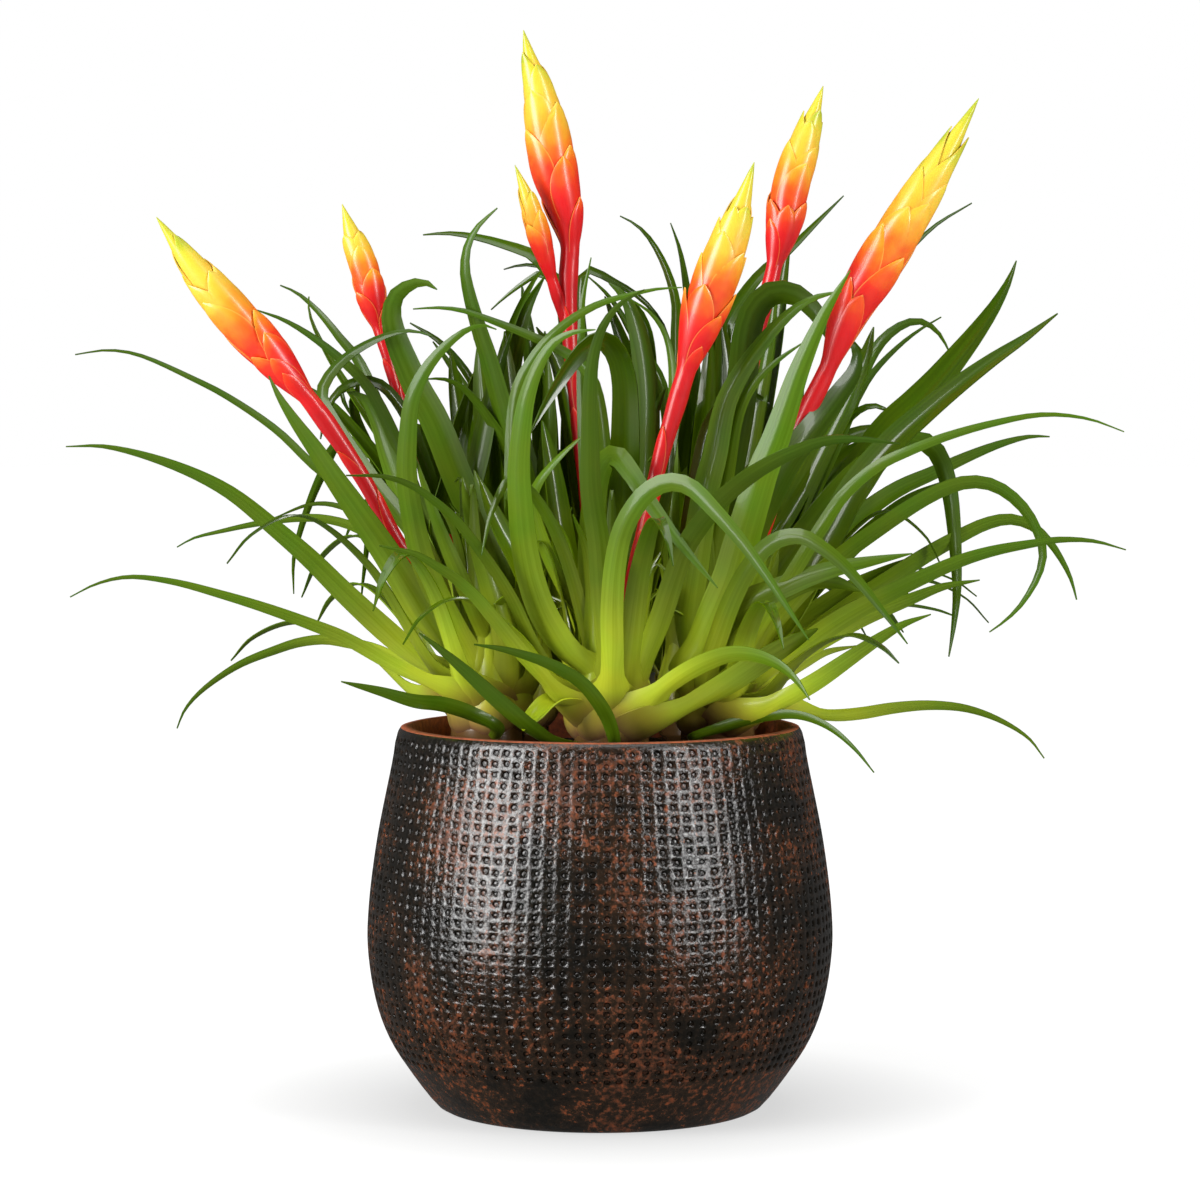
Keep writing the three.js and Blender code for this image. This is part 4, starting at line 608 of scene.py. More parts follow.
# ---------- making meshes ----------
def select_only(*objects):
    """Selects these objects alone; the first is the active one."""
    bpy.ops.object.select_all(action="DESELECT")
    for thing in objects:
        thing.select_set(True)
    bpy.context.view_layer.objects.active = objects[0]


def flat_blade(across, along):
    """A flat grid from -1 to 1 both ways: what each leaf and bract starts from."""
    bpy.ops.object.select_all(action="DESELECT")
    bpy.ops.mesh.primitive_grid_add(x_subdivisions=across, y_subdivisions=along, size=2)
    return bpy.context.object


def column(sides, rings):
    """A closed upright column one unit in radius, its rings one unit apart."""
    bpy.ops.object.select_all(action="DESELECT")
    bpy.ops.mesh.primitive_circle_add(vertices=sides, radius=1, fill_type="NGON")
    bpy.ops.object.mode_set(mode="EDIT")
    bpy.ops.mesh.select_all(action="SELECT")
    for _ in range(rings):
        bpy.ops.mesh.extrude_region_move(TRANSFORM_OT_translate={"value": (0, 0, 1)})
    bpy.ops.mesh.select_all(action="SELECT")
    bpy.ops.mesh.normals_make_consistent(inside=False)
    bpy.ops.object.mode_set(mode="OBJECT")
    return bpy.context.object


def corners_of(thing):
    """A mesh's corners, one row each."""
    corners = np.empty(len(thing.data.vertices) * 3)
    thing.data.vertices.foreach_get("co", corners)
    return corners.reshape(-1, 3)


def shaped_copy(start, corners, flat, marks):
    """A copy with its own mesh: corners in millimetres, a UV map in metres, and marks that
    the finishes read, such as how far along the blade each corner is."""
    mesh = start.data.copy()
    mesh.vertices.foreach_set("co", (corners * MM).ravel())
    for mark, values in marks.items():
        mesh.attributes.new(mark, "FLOAT", "POINT").data.foreach_set("value", values)
    of_loop = np.empty(len(mesh.loops), int)
    mesh.loops.foreach_get("vertex_index", of_loop)
    mesh.uv_layers.active.uv.foreach_set("vector", (flat[of_loop] * MM).ravel())
    part = bpy.data.objects.new("part", mesh)
    bpy.context.collection.objects.link(part)
    return part


def joined(parts, name, *finishes):
    """The parts as one piece with these finishes."""
    select_only(*parts)
    bpy.ops.object.join()
    piece = bpy.context.object
    piece.name = piece.data.name = name
    piece.data.materials.clear()
    for finish in finishes:
        piece.data.materials.append(finish)
    return piece


def apply(piece, kind, **settings):
    """Adds a modifier with these settings and applies it."""
    select_only(piece)
    modifier = piece.modifiers.new(kind.lower(), kind)
    for name, value in settings.items():
        setattr(modifier, name, value)
    bpy.ops.object.modifier_apply(modifier=modifier.name)


def shade_round(piece):
    """Smooth shading that stops at a piece's thin edges."""
    select_only(piece)
    bpy.ops.object.shade_smooth_by_angle(angle=math.radians(50))


def turned(outline, sides):
    """A closed body of revolution, raised ring by ring from the foot as on a wheel."""
    radius, height = outline[0]
    bpy.ops.object.select_all(action="DESELECT")
    bpy.ops.mesh.primitive_circle_add(
        vertices=sides, radius=radius * MM, fill_type="NGON", location=(0, 0, height * MM))
    bpy.ops.object.transform_apply()
    bpy.ops.object.mode_set(mode="EDIT")
    bpy.ops.mesh.select_all(action="SELECT")
    for next_radius, next_height in outline[1:]:
        bpy.ops.mesh.extrude_region_move(
            TRANSFORM_OT_translate={"value": (0, 0, (next_height - height) * MM)})
        scale = next_radius / radius
        bpy.ops.transform.resize(value=(scale, scale, 1), center_override=(0, 0, next_height * MM))
        radius, height = next_radius, next_height
    bpy.ops.mesh.select_all(action="SELECT")
    bpy.ops.mesh.normals_make_consistent(inside=False)
    bpy.ops.object.mode_set(mode="OBJECT")
    return bpy.context.object


def removed(*things):
    """Takes away what was only there to copy or to cut with."""
    for thing in things:
        bpy.data.objects.remove(thing)


# ---------- finishes ----------
def linear(hexcode):
    """An sRGB hex colour as linear RGBA."""
    rgb = [int(hexcode[i:i + 2], 16) / 255 for i in (1, 3, 5)]
    return (*[c / 12.92 if c <= 0.04045 else ((c + 0.055) / 1.055) ** 2.4 for c in rgb], 1.0)


def grain(size):
    """A pattern's scale from the real size of its marks in millimetres."""
    return 1 / (size * MM)


def feed(tree, node, inputs):
    """Gives a node its inputs: each is a constant, or another node's output to link from."""
    for name, value in inputs.items():
        if isinstance(value, bpy.types.NodeSocket):
            tree.links.new(value, node.inputs[name])
        else:
            node.inputs[name].default_value = value


def add_node(tree, kind, inputs=None, out=0, stops=(), **settings):
    """Adds a node with its settings, inputs and a ramp's (place, hex colour) stops, and gives
    back one of its outputs."""
    node = tree.nodes.new(kind)
    for name, value in settings.items():
        setattr(node, name, value)
    feed(tree, node, inputs or {})
    if stops:
        elements = node.color_ramp.elements
        for _ in stops[2:]:
            elements.new(0.5)
        for element, (place, hexcode) in zip(elements, stops):
            element.position = place
            element.color = linear(hexcode)
    return node.outputs[out]


def new_finish(name):
    """An empty finish, its nodes and its Principled shader."""
    finish = bpy.data.materials.new(name)
    finish.use_nodes = True
    return finish, finish.node_tree, finish.node_tree.nodes["Principled BSDF"]


def veins(tree, apart, length):
    """Fine lines along a blade: noise stretched to `length` millimetres, with a line every
    `apart` millimetres across."""
    stretched = add_node(tree, "ShaderNodeMapping", {
        "Vector": add_node(tree, "ShaderNodeTexCoord", out="UV"),
        "Scale": (grain(apart), grain(length), 1),
    })
    return add_node(tree, "ShaderNodeTexNoise", {
        "Vector": stretched, "Scale": 1.0, "Detail": 1.0, "Roughness": 0.5,
    })


def waxy_leaf(name, greens, roughness, wax):
    """A leaf under a thin coat of wax, which gives it long soft highlights. Its colours run
    from the foot of the sheath out, and pale veins show once it has turned green."""
    finish, tree, principled = new_finish(name)
    grown = add_node(tree, "ShaderNodeMapRange", {
        "Value": add_node(tree, "ShaderNodeAttribute", out="Fac", attribute_name="grown"),
        "From Max": FULLY_GREEN,
    })
    green = add_node(tree, "ShaderNodeValToRGB", {"Fac": grown}, stops=greens)
    lines = veins(tree, VEINS_APART, VEIN_LENGTH)
    vein = add_node(tree, "ShaderNodeMapRange", {
        "Value": lines, "From Min": 0.35, "From Max": 0.7, "To Max": 0.5,
    })
    past_sheath = add_node(tree, "ShaderNodeMapRange", {
        "Value": grown, "From Min": 0.15, "From Max": 0.4, "To Min": 0.15, "To Max": 1.0,
    })
    streak = add_node(tree, "ShaderNodeMath", {0: vein, 1: past_sheath}, operation="MULTIPLY")
    yellowed = add_node(tree, "ShaderNodeMix", {
        0: 1.0, 6: green, 7: linear("#C2C67A"),
    }, out=2, data_type="RGBA", blend_type="MULTIPLY")
    streaked = add_node(tree, "ShaderNodeMix", {
        0: streak, 6: green, 7: yellowed,
    }, out=2, data_type="RGBA")
    patches = add_node(tree, "ShaderNodeTexNoise", {
        "Vector": add_node(tree, "ShaderNodeTexCoord", out="Object"), "Scale": grain(28.57),
        "Detail": 2.0,
    })
    lightness = add_node(tree, "ShaderNodeMapRange", {
        "Value": add_node(tree, "ShaderNodeAttribute", out="Fac", attribute_name="tone"),
        "To Min": 0.3, "To Max": 1.12,
    })
    hue = add_node(tree, "ShaderNodeMapRange", {
        "Value": patches, "From Min": 0.3, "From Max": 0.7, "To Min": 0.49, "To Max": 0.51,
    })
    varied = add_node(tree, "ShaderNodeHueSaturation", {
        "Color": streaked, "Value": lightness, "Saturation": 1.06, "Hue": hue,
    })
    relief = add_node(tree, "ShaderNodeMapRange", {
        "Value": grown, "From Min": 0.15, "From Max": 0.4, "To Min": 0.05, "To Max": 0.18,
    })
    raised = add_node(tree, "ShaderNodeBump", {
        "Height": lines, "Strength": relief, "Distance": 0.3 * MM,
    })
    feed(tree, principled, {
        "Base Color": varied, "Normal": raised, "Roughness": roughness, "IOR": 1.4,
        "Specular IOR Level": 0.26, "Coat Weight": wax, "Coat Roughness": 0.09,
    })
    return finish


def leaf_upper():
    """The glossy upper face, deep green from the sheath out."""
    return waxy_leaf("waxy_leaf_upper", [
        (0.0, "#4A2E1A"), (0.07, "#846640"), (0.13, "#A29A3A"), (0.19, "#AEBC3C"),
        (0.3, "#9CB034"), (0.42, "#6C8420"), (0.6, "#4A6412"), (1.0, "#3E5812"),
    ], 0.27, 0.36)


def leaf_under():
    """The duller underside, paler and greyer, brown-purple at the foot of the sheath."""
    return waxy_leaf("waxy_leaf_under", [
        (0.0, "#4A2E28"), (0.07, "#7E5E44"), (0.13, "#9E943E"), (0.19, "#B0BC42"),
        (0.3, "#9EB03A"), (0.42, "#768A2C"), (0.58, "#546E1C"), (1.0, "#46621A"),
    ], 0.36, 0.14)


def waxy_bract():
    """Lacquered bracts: fleshy, so light goes a little way in, and red at the foot of the head,
    yellow at its tip, with thin pale margins."""
    finish, tree, principled = new_finish("waxy_bract")
    clouds = add_node(tree, "ShaderNodeTexNoise", {
        "Vector": add_node(tree, "ShaderNodeTexCoord", out="Object"), "Scale": grain(16.67),
        "Detail": 2.0,
    })
    uneven = add_node(tree, "ShaderNodeMapRange", {
        "Value": clouds, "From Min": 0.3, "From Max": 0.7, "To Min": -0.05, "To Max": 0.05,
    })
    ripe = add_node(tree, "ShaderNodeMath", {
        0: add_node(tree, "ShaderNodeAttribute", out="Fac", attribute_name="ripe"), 1: uneven,
    }, operation="ADD")
    blush = add_node(tree, "ShaderNodeValToRGB", {"Fac": ripe}, stops=[
        (0.0, "#B20C14"), (0.28, "#C80F13"), (0.40, "#D22A10"), (0.50, "#D85510"),
        (0.60, "#D8821A"), (0.70, "#D6A02A"), (0.82, "#CCAE32"), (0.92, "#B8B02C"),
        (1.0, "#98A020"),
    ])
    margin = add_node(tree, "ShaderNodeMapRange", {
        "Value": add_node(tree, "ShaderNodeAttribute", out="Fac", attribute_name="margin"),
        "From Min": 0.93, "To Max": 0.5,
    })
    edged = add_node(tree, "ShaderNodeMix", {
        0: margin, 6: blush, 7: linear("#E0A84E"),
    }, out=2, data_type="RGBA")
    raised = add_node(tree, "ShaderNodeBump", {
        "Height": veins(tree, 2.2, 60), "Strength": 0.1, "Distance": 0.3 * MM,
    })
    feed(tree, principled, {
        "Base Color": edged, "Normal": raised, "Roughness": 0.34, "IOR": 1.45,
        "Subsurface Weight": 0.1, "Subsurface Scale": 2 * MM, "Coat Weight": 0.25,
        "Coat Roughness": 0.18,
    })
    return finish


def glazed_stoneware():
    """Near-black glaze over rust-brown clay: a satin gloss where it lies thick, duller where it has
    worn to the clay, and painted black and matt in the pits as a painted shade of the hollows."""
    finish, tree, principled = new_finish("glazed_stoneware")
    place = add_node(tree, "ShaderNodeTexCoord", out="Object")
    broad = add_node(tree, "ShaderNodeTexNoise", {
        "Vector": place, "Scale": grain(58.8), "Detail": 4.0, "Roughness": 0.62,
    })
    flecks = add_node(tree, "ShaderNodeTexNoise", {
        "Vector": place, "Scale": grain(4.17), "Detail": 4.0, "Roughness": 0.7,
    })
    near_foot = add_node(tree, "ShaderNodeMapRange", {
        "Value": add_node(tree, "ShaderNodeSeparateXYZ", {"Vector": place}, out="Z"),
        "From Max": 120 * MM, "To Min": 0.03, "To Max": 0.0,
    })
    thin = add_node(tree, "ShaderNodeMath", {0: broad, 1: near_foot}, operation="ADD")
    thin_and_flecked = add_node(tree, "ShaderNodeMath", {
        0: thin, 1: flecks,
    }, operation="MULTIPLY")
    browned = add_node(tree, "ShaderNodeMapRange", {
        "Value": thin, "From Min": 0.42, "From Max": 0.58,
    })
    worn = add_node(tree, "ShaderNodeMapRange", {
        "Value": thin_and_flecked, "From Min": 0.284, "From Max": 0.33,
    })
    fleck = add_node(tree, "ShaderNodeMapRange", {
        "Value": flecks, "From Min": 0.4, "From Max": 0.7,
    })
    clay_fleck = add_node(tree, "ShaderNodeMapRange", {
        "Value": flecks, "From Min": 0.45, "From Max": 0.7,
    })
    black = add_node(tree, "ShaderNodeValToRGB", {"Fac": fleck}, stops=[
        (0.0, "#0B0906"), (0.5, "#130F0A"), (1.0, "#241910"),
    ])
    brown = add_node(tree, "ShaderNodeValToRGB", {"Fac": fleck}, stops=[
        (0.0, "#1C130B"), (0.5, "#2F2014"), (1.0, "#49301C"),
    ])
    rust = add_node(tree, "ShaderNodeValToRGB", {"Fac": clay_fleck}, stops=[
        (0.0, "#2E180B"), (0.5, "#4C2812"), (1.0, "#7C3A16"),
    ])
    glaze = add_node(tree, "ShaderNodeMix", {
        0: browned, 6: black, 7: brown,
    }, out=2, data_type="RGBA")
    worn_glaze = add_node(tree, "ShaderNodeMix", {
        0: worn, 6: glaze, 7: rust,
    }, out=2, data_type="RGBA")
    # painted shade: the pits are coloured near-black and lose their gloss, so they stay dark like
    # shaded hollows
    pooled = add_node(tree, "ShaderNodeAttribute", out="Fac", attribute_name="pooled")
    painted_pit_shade_share = add_node(tree, "ShaderNodeMapRange", {"Value": pooled, "To Max": 0.9})
    colour = add_node(tree, "ShaderNodeMix", {
        0: painted_pit_shade_share, 6: worn_glaze, 7: linear("#060503"),
    }, out=2, data_type="RGBA")
    roughness = add_node(tree, "ShaderNodeMapRange", {
        "Value": worn, "To Min": 0.18, "To Max": 0.4,
    })
    mirror = add_node(tree, "ShaderNodeMapRange", {
        "Value": pooled, "From Min": 0.2, "From Max": 0.9, "To Min": 0.42, "To Max": 0.02,
    })
    coat = add_node(tree, "ShaderNodeMapRange", {
        "Value": pooled, "From Min": 0.2, "From Max": 0.9, "To Min": 0.42, "To Max": 0.0,
    })
    lumps = add_node(tree, "ShaderNodeTexNoise", {
        "Vector": place, "Scale": grain(7.69), "Detail": 2.0, "Roughness": 0.5,
    })
    wrinkles = add_node(tree, "ShaderNodeTexNoise", {
        "Vector": place, "Scale": grain(2.38), "Detail": 3.0, "Roughness": 0.65,
        "Distortion": 1.2,
    })
    lumpy = add_node(tree, "ShaderNodeBump", {
        "Height": lumps, "Strength": 0.4, "Distance": 1.8 * MM,
    })
    raised = add_node(tree, "ShaderNodeBump", {
        "Height": wrinkles, "Strength": 0.5, "Distance": 0.7 * MM, "Normal": lumpy,
    })
    feed(tree, principled, {
        "Base Color": colour, "Roughness": roughness, "Specular IOR Level": mirror,
        "Coat Weight": coat, "Normal": raised, "Coat Normal": raised, "IOR": 1.5,
        "Coat Roughness": 0.1,
    })
    return finish


def crumbly(name, size, detail, coarse, colours, strength, depth, shader):
    """A matt body of crumbs about `size` millimetres across that stand up by `depth`."""
    finish, tree, principled = new_finish(name)
    crumbs = add_node(tree, "ShaderNodeTexNoise", {
        "Vector": add_node(tree, "ShaderNodeTexCoord", out="Object"), "Scale": grain(size),
        "Detail": detail, "Roughness": coarse,
    })
    spread = add_node(tree, "ShaderNodeMapRange", {
        "Value": crumbs, "From Min": 0.3, "From Max": 0.7,
    })
    colour = add_node(tree, "ShaderNodeValToRGB", {"Fac": spread}, stops=colours)
    raised = add_node(tree, "ShaderNodeBump", {
        "Height": crumbs, "Strength": strength, "Distance": depth * MM,
    })
    feed(tree, principled, {"Base Color": colour, "Normal": raised, **shader})
    return finish


def bare_terracotta():
    """Unglazed fired clay of the lip and the inside: matt and sandy."""
    return crumbly("bare_terracotta", 4.55, 5.0, 0.65, [
        (0.0, "#642F1C"), (0.5, "#8F4526"), (1.0, "#B05A30"),
    ], 0.4, 0.5, {"Roughness": 0.75, "IOR": 1.5})


def damp_bark():
    """Damp bark and peat: dark, dull and crumbly."""
    return crumbly("damp_bark", 6.25, 6.0, 0.7, [
        (0.0, "#150D09"), (0.5, "#33211A"), (1.0, "#5C4130"),
    ], 0.8, 2, {"Roughness": 0.9, "IOR": 1.45})


# ---------- the pot ----------
def lathe_rows():
    """(radius, height) of each ring from the foot up the wall, over the rim and down inside."""
    wall = Path(POT_OUTLINE)
    heights = wall.places[:, 1]
    low, high = (np.interp(h, heights, wall.reached) for h in PIT_BAND)
    rows = round((high - low) / PIT_ROW)
    pitted = wall.at(np.linspace(low, high, rows + 1) / wall.length)
    foot = wall.at(np.array(FOOT_RINGS) / wall.length)
    lip = wall.at(np.array([LIP_FROM]))
    inside = Path([(RIM_FLAT[1], POT_HEIGHT), *POT_INSIDE])
    inner = inside.at(np.linspace(0, 1, INSIDE_RINGS))
    rim = [LIP, (RIM_FLAT[0], POT_HEIGHT)]
    return [*foot, *pitted, *lip, *rim, *inner], pitted


def drilled(pot):
    """Cuts the drainage holes through the floor."""
    for i in range(DRAIN_HOLES):
        angle = (i + 0.5) / DRAIN_HOLES * 2 * math.pi
        across, back = DRAIN_RING * math.cos(angle) * MM, DRAIN_RING * math.sin(angle) * MM
        bpy.ops.mesh.primitive_cylinder_add(
            vertices=32, radius=DRAIN_RADIUS * MM, depth=DRILL_LENGTH * MM,
            location=(across, back, DRILL_MIDDLE * MM))
        drill = bpy.context.object
        apply(pot, "BOOLEAN", object=drill, operation="DIFFERENCE", solver="EXACT")
        removed(drill)


def press_pit(mesh, face, draws, pooled):
    """Presses a round pit with a nub at its middle into a face, out of true as by hand, and marks
    how dark the painted shade is at each of its rings."""
    normal = face.normal
    across = Vector((0, 0, 1)).cross(normal).normalized()
    upward = normal.cross(across)
    shift = (draws[0] - 0.5) * PIT_STRAY[0] * across + (draws[1] - 0.5) * PIT_STRAY[1] * upward
    middle = face.calc_center_median() + shift * MM
    size = between(*PIT_SIZES, draws[2]) * MM
    squash = between(*PIT_SQUASH, draws[3])
    outer = sorted(face.verts, key=lambda corner: math.atan2(
        (corner.co - middle).dot(upward), (corner.co - middle).dot(across)) % (2 * math.pi))
    rings = []
    for radius, depth, dark in PIT_RINGS:
        ring = []
        for step in range(PIT_SIDES):
            angle = step / PIT_SIDES * 2 * math.pi + draws[0]
            offset = across * math.cos(angle) + upward * math.sin(angle) * squash
            corner = mesh.verts.new(middle + offset * radius * size - normal * depth * size)
            corner[pooled] = dark
            ring.append(corner)
        rings.append(ring)
    rim = rings[0]
    mesh.faces.remove(face)
    for side in range(4):
        first, second = outer[side], outer[(side + 1) % 4]
        start = side * 2
        near = [rim[(start + k) % PIT_SIDES] for k in (3, 2, 1)]
        mesh.faces.new((first, second, *near)).smooth = True
    for wide, narrow in zip(rings, rings[1:]):
        for step in range(PIT_SIDES):
            after = (step + 1) % PIT_SIDES
            mesh.faces.new((wide[step], wide[after], narrow[after], narrow[step])).smooth = True
    mesh.faces.new(rings[-1]).smooth = True


def row_by_row(face):
    """Where a face comes when the wall is counted up from the foot and round each row. The
    drainage holes leave the faces in an order that changes from run to run."""
    middle = face.calc_center_median()
    return round(middle.z / MM, 1), math.atan2(middle.y, middle.x)


def glazed_pot():
    """The thrown pot with its drainage holes, then a pit pressed into each face of the wall."""
    rows, pitted = lathe_rows()
    pot = turned(rows, PIT_COLUMNS)
    drilled(pot)
    mesh = bmesh.new()
    mesh.from_mesh(pot.data)
    mesh.normal_update()
    # how dark the painted shade is at each ring of a pit
    pooled = mesh.verts.layers.float.new("pooled")
    low, high = pitted[0][1] * MM, pitted[-1][1] * MM
    wall = [
        face for face in mesh.faces
        if low < face.calc_center_median().z < high and len(face.verts) == 4
        and face.normal.dot(face.calc_center_median() * Vector((1, 1, 0))) > 0
    ]
    for face in mesh.faces:
        middle = face.calc_center_median()
        outward = face.normal.dot(middle * Vector((1, 1, 0))) > 0
        face.smooth = True
        glazed = outward and middle.z < GLAZE_TO * MM or middle.z < GLAZE_FROM * MM
        face.material_index = 0 if glazed else 1
    wall.sort(key=row_by_row)
    draws = np.random.default_rng(7).random((len(wall), 4)).tolist()
    for face, draw in zip(wall, draws):
        press_pit(mesh, face, draw, pooled)
    mesh.to_mesh(pot.data)
    mesh.free()
    apply(pot, "WEIGHTED_NORMAL", mode="FACE_AREA", weight=50)
    pot.name = pot.data.name = "glazed_pot"
    pot.data.materials.append(glazed_stoneware())
    pot.data.materials.append(bare_terracotta())
    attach(pot, "root")
    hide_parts("clay_pot")


# ---------- the potting mix ----------
def bark_mix():
    """The mix fills the pot; its top is crumbly, with chips of bark lying on it."""
    draw = np.random.default_rng(5)
    plug = [(radius - MIX_GAP, height + MIX_GAP) for radius, height in reversed(POT_INSIDE[1:])]
    radius, top = plug[-1]
    rings = [(radius * (1 - i / MIX_RINGS), top) for i in range(1, MIX_RINGS)]
    mix = turned([*plug, *rings], 96)
    corners = corners_of(mix)
    inner = np.hypot(*corners[:, :2].T) < (radius - 2) * MM
    crumbly_top = inner & (corners[:, 2] > (MIX_TOP - 1) * MM)
    corners[crumbly_top, 2] += draw.uniform(*MIX_CRUMBS, crumbly_top.sum()) * MM
    mix.data.vertices.foreach_set("co", corners.ravel())
    bpy.ops.mesh.primitive_cube_add(size=1)
    block = bpy.context.object
    apply(block, "BEVEL", width=0.18, segments=1)
    shape = corners_of(block)
    chips = []
    for _ in range(BARK_CHIPS):
        size = draw.uniform(*CHIP_SIZES)
        turn, lean = draw.uniform(0, 2 * math.pi), draw.uniform(-CHIP_LEAN, CHIP_LEAN)
        reach, compass = CHIP_REACH * draw.uniform() ** 0.5, draw.uniform(0, 2 * math.pi)
        rough = shape * size + draw.uniform(-0.5, 0.5, shape.shape)
        across = np.array([math.cos(turn), math.sin(turn), 0])
        up = unit(np.array([lean, draw.uniform(-CHIP_LEAN, CHIP_LEAN), 1]))
        across = unit(across - up * (across @ up))
        axes = np.array([across, np.cross(up, across), up])
        middle = (reach * math.cos(compass), reach * math.sin(compass), MIX_TOP - 0.6)
        mesh = block.data.copy()
        mesh.vertices.foreach_set("co", ((rough @ axes + middle) * MM).ravel())
        chip = bpy.data.objects.new("chip", mesh)
        bpy.context.collection.objects.link(chip)
        chips.append(chip)
    removed(block)
    piece = joined([mix, *chips], "bark_mix", damp_bark())
    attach(piece, "root")
    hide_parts("potting_mix")


# ---------- the leaves ----------
def drawn_leaf(leaf, bend):
    """A drawn leaf's points from the crown out, with `bend` more depth towards its tip."""
    plant, width, roll, drawn, *rest = leaf
    sheath = rest[0] if rest else max(2.1 * width, SHEATH_WIDTH)
    fullness = rest[1] if len(rest) > 1 else TIP_FULLNESS
    x, y = PLANTS[plant]["centre"]
    points = [
        placed((across, height, depth + bend * eased(0, len(drawn) / 2, i + 0.6)))
        for i, (across, height, depth) in enumerate(drawn)
    ]
    side = unit(np.array([points[0][0] - x, points[0][1] - y, 0]))
    start = [
        np.array([x, y, MIX_TOP + up]) + side * out for out, up in (LEAF_FOOT, LEAF_SHOULDER)
    ]
    if points[0][2] < MIX_TOP + LOW_LEAF:
        start.pop()
    return dict(points=start + points, width=width, roll=roll, inward=-side, drawn=True,
                sheath=sheath, fullness=fullness)


def ruled_leaf(plant, compass, reach, top, droop, width, roll):
    """A leaf in the direction `compass` that climbs to `top` and reaches out by `reach`."""
    x, y = PLANTS[plant]["centre"]
    side = np.array([math.cos(compass), math.sin(compass), 0])
    rise = top - MIX_TOP
    # (out, height): out of the stem, up along the blade, over the top and down to the tip
    outline = [
        (9, MIX_TOP + 8.3), (19, MIX_TOP + 25), (20 + 0.18 * reach, MIX_TOP + 0.42 * rise),
        (20 + 0.42 * reach, MIX_TOP + 0.8 * rise), (20 + 0.7 * reach, top),
        (20 + 0.9 * reach, top - 0.4 * droop), (20 + reach, top - droop),
    ]
    points = [np.array([x, y, height]) + side * out for out, height in outline]
    return dict(points=points, width=width, roll=roll, inward=-side, drawn=False,
                sheath=SHEATH_WIDTH, fullness=TIP_FULLNESS)


def bent_leaf(leaf, bend):
    """A ruled leaf with `bend` more depth from its shoulder out."""
    shift = np.array([bend * 0.5, bend, 0])
    points = [point + shift * eased(1, 4, i) for i, point in enumerate(leaf["points"])]
    return {**leaf, "points": points}


def ruled_leaves(plant):
    """The leaves of a rosette that are grown by rule: a fan on its open side, then a few short
    upright ones round its middle."""
    fan = FANS[plant]
    draw = seeded(fan["seed"])
    middle, half = math.radians(fan["facing"]), math.radians(fan["sweep"]) / 2
    leaves = []
    for i in range(fan["arching"]):
        place = ((i * 0.618034) % 1) * 2 - 1
        low = (i * 0.41 + 0.2) % 1
        leaves.append(ruled_leaf(
            plant, middle + place * half, between(*fan["reach"], draw()), between(335, 470, low),
            between(10, 48, draw()), between(11, 15, draw()), between(-25, 25, draw())))
    for i in range(fan["upright"]):
        leaves.append(ruled_leaf(
            plant, middle + i * SPIRAL, between(14, 44, draw()), between(370, 460, draw()),
            between(0, 8, draw()), between(12, 17, draw()), between(-15, 15, draw())))
    return leaves


def basal_leaves(plant):
    """Short leaves whose overlapped sheaths swell into the bulb at the rosette's foot."""
    x, y = PLANTS[plant]["centre"]
    draw = seeded(len(plant) * 5)
    leaves = []
    for i in range(BASAL_LEAVES):
        compass = i * SPIRAL + draw()
        side = np.array([math.cos(compass), math.sin(compass), 0])
        bulge, top = between(24, 30, draw()), between(100, 190, draw())
        # (out, height): round the bulge of the sheath, in above it, then out to the tip
        outline = [(8, 6), (bulge, 20), (bulge + 3, 42), (bulge - 4, 72), (bulge, 0.7 * top + 22),
                   (bulge + between(4, 26, draw()), top)]
        points = [np.array([x, y, MIX_TOP + height]) + side * out for out, height in outline]
        leaves.append(dict(points=points, width=between(12, 16, draw()), roll=0, inward=-side,
                           drawn=False, sheath=SHEATH_WIDTH, fullness=TIP_FULLNESS))
    return leaves


def best_bend(solid, leaf_at):
    """The leaf bent to the front or the back by the same step as in the frame's solid, and how
    far off it lies from there."""
    best, nearest = None, math.inf
    for bend in BENDS:
        leaf = leaf_at(bend)
        path = Path(leaf["points"])
        steps = min(MOST_STEPS, max(FEWEST_STEPS, round(path.length / BLADE_STEP)))
        places = path.at(np.arange(1, steps + 1) / steps)
        off = np.mean([solid.find_nearest(Vector(place * MM))[3] for place in places]) / MM
        if off < nearest:
            best, nearest = leaf, off
    return best, nearest


def leaf_half(leaf, share, length):
    """Half the width along a leaf: a broad clasping sheath, a strap, and a drawn-out tip."""
    grown = share * length
    tapered = ROLLED_TAPER if leaf["roll"] >= ROLLED else TAPER
    strap = leaf["width"] * (1 - tapered * share)
    sheath = leaf["sheath"] * between(0.8, 1, eased(0, 25, grown))
    if not leaf["sheath"]:
        sheath = 0.8 * strap
    tip = np.maximum(1 - share ** leaf["fullness"], 0) ** 0.9
    return np.maximum(between(sheath, strap, eased(*SHEATH_END, grown)) * tip / 2, 0.15)


def turned_to_eye(at, along, across, grown):
    """The way across a blade, turned no further from the eye than TURNED_AWAY once it has left
    the sheath, and how much of its width then shows."""
    away = unit(at - np.array([0, -EYE_DISTANCE, EYE_HEIGHT]))
    aside = unit(np.cross(away, along))
    behind = np.cross(along, aside)
    shown, hidden = np.sum(across * aside, axis=1), np.sum(across * behind, axis=1)
    facing = 1 if shown[len(shown) // 4:].sum() >= 0 else -1
    lean = np.unwrap(np.arctan2(hidden, facing * shown))
    held = TURNED_AWAY * np.tanh(lean / TURNED_AWAY)
    lean = between(lean, held, eased(35, 110, grown))[:, None]
    return facing * aside * np.cos(lean) + behind * np.sin(lean), np.abs(np.cos(lean[:, 0]))


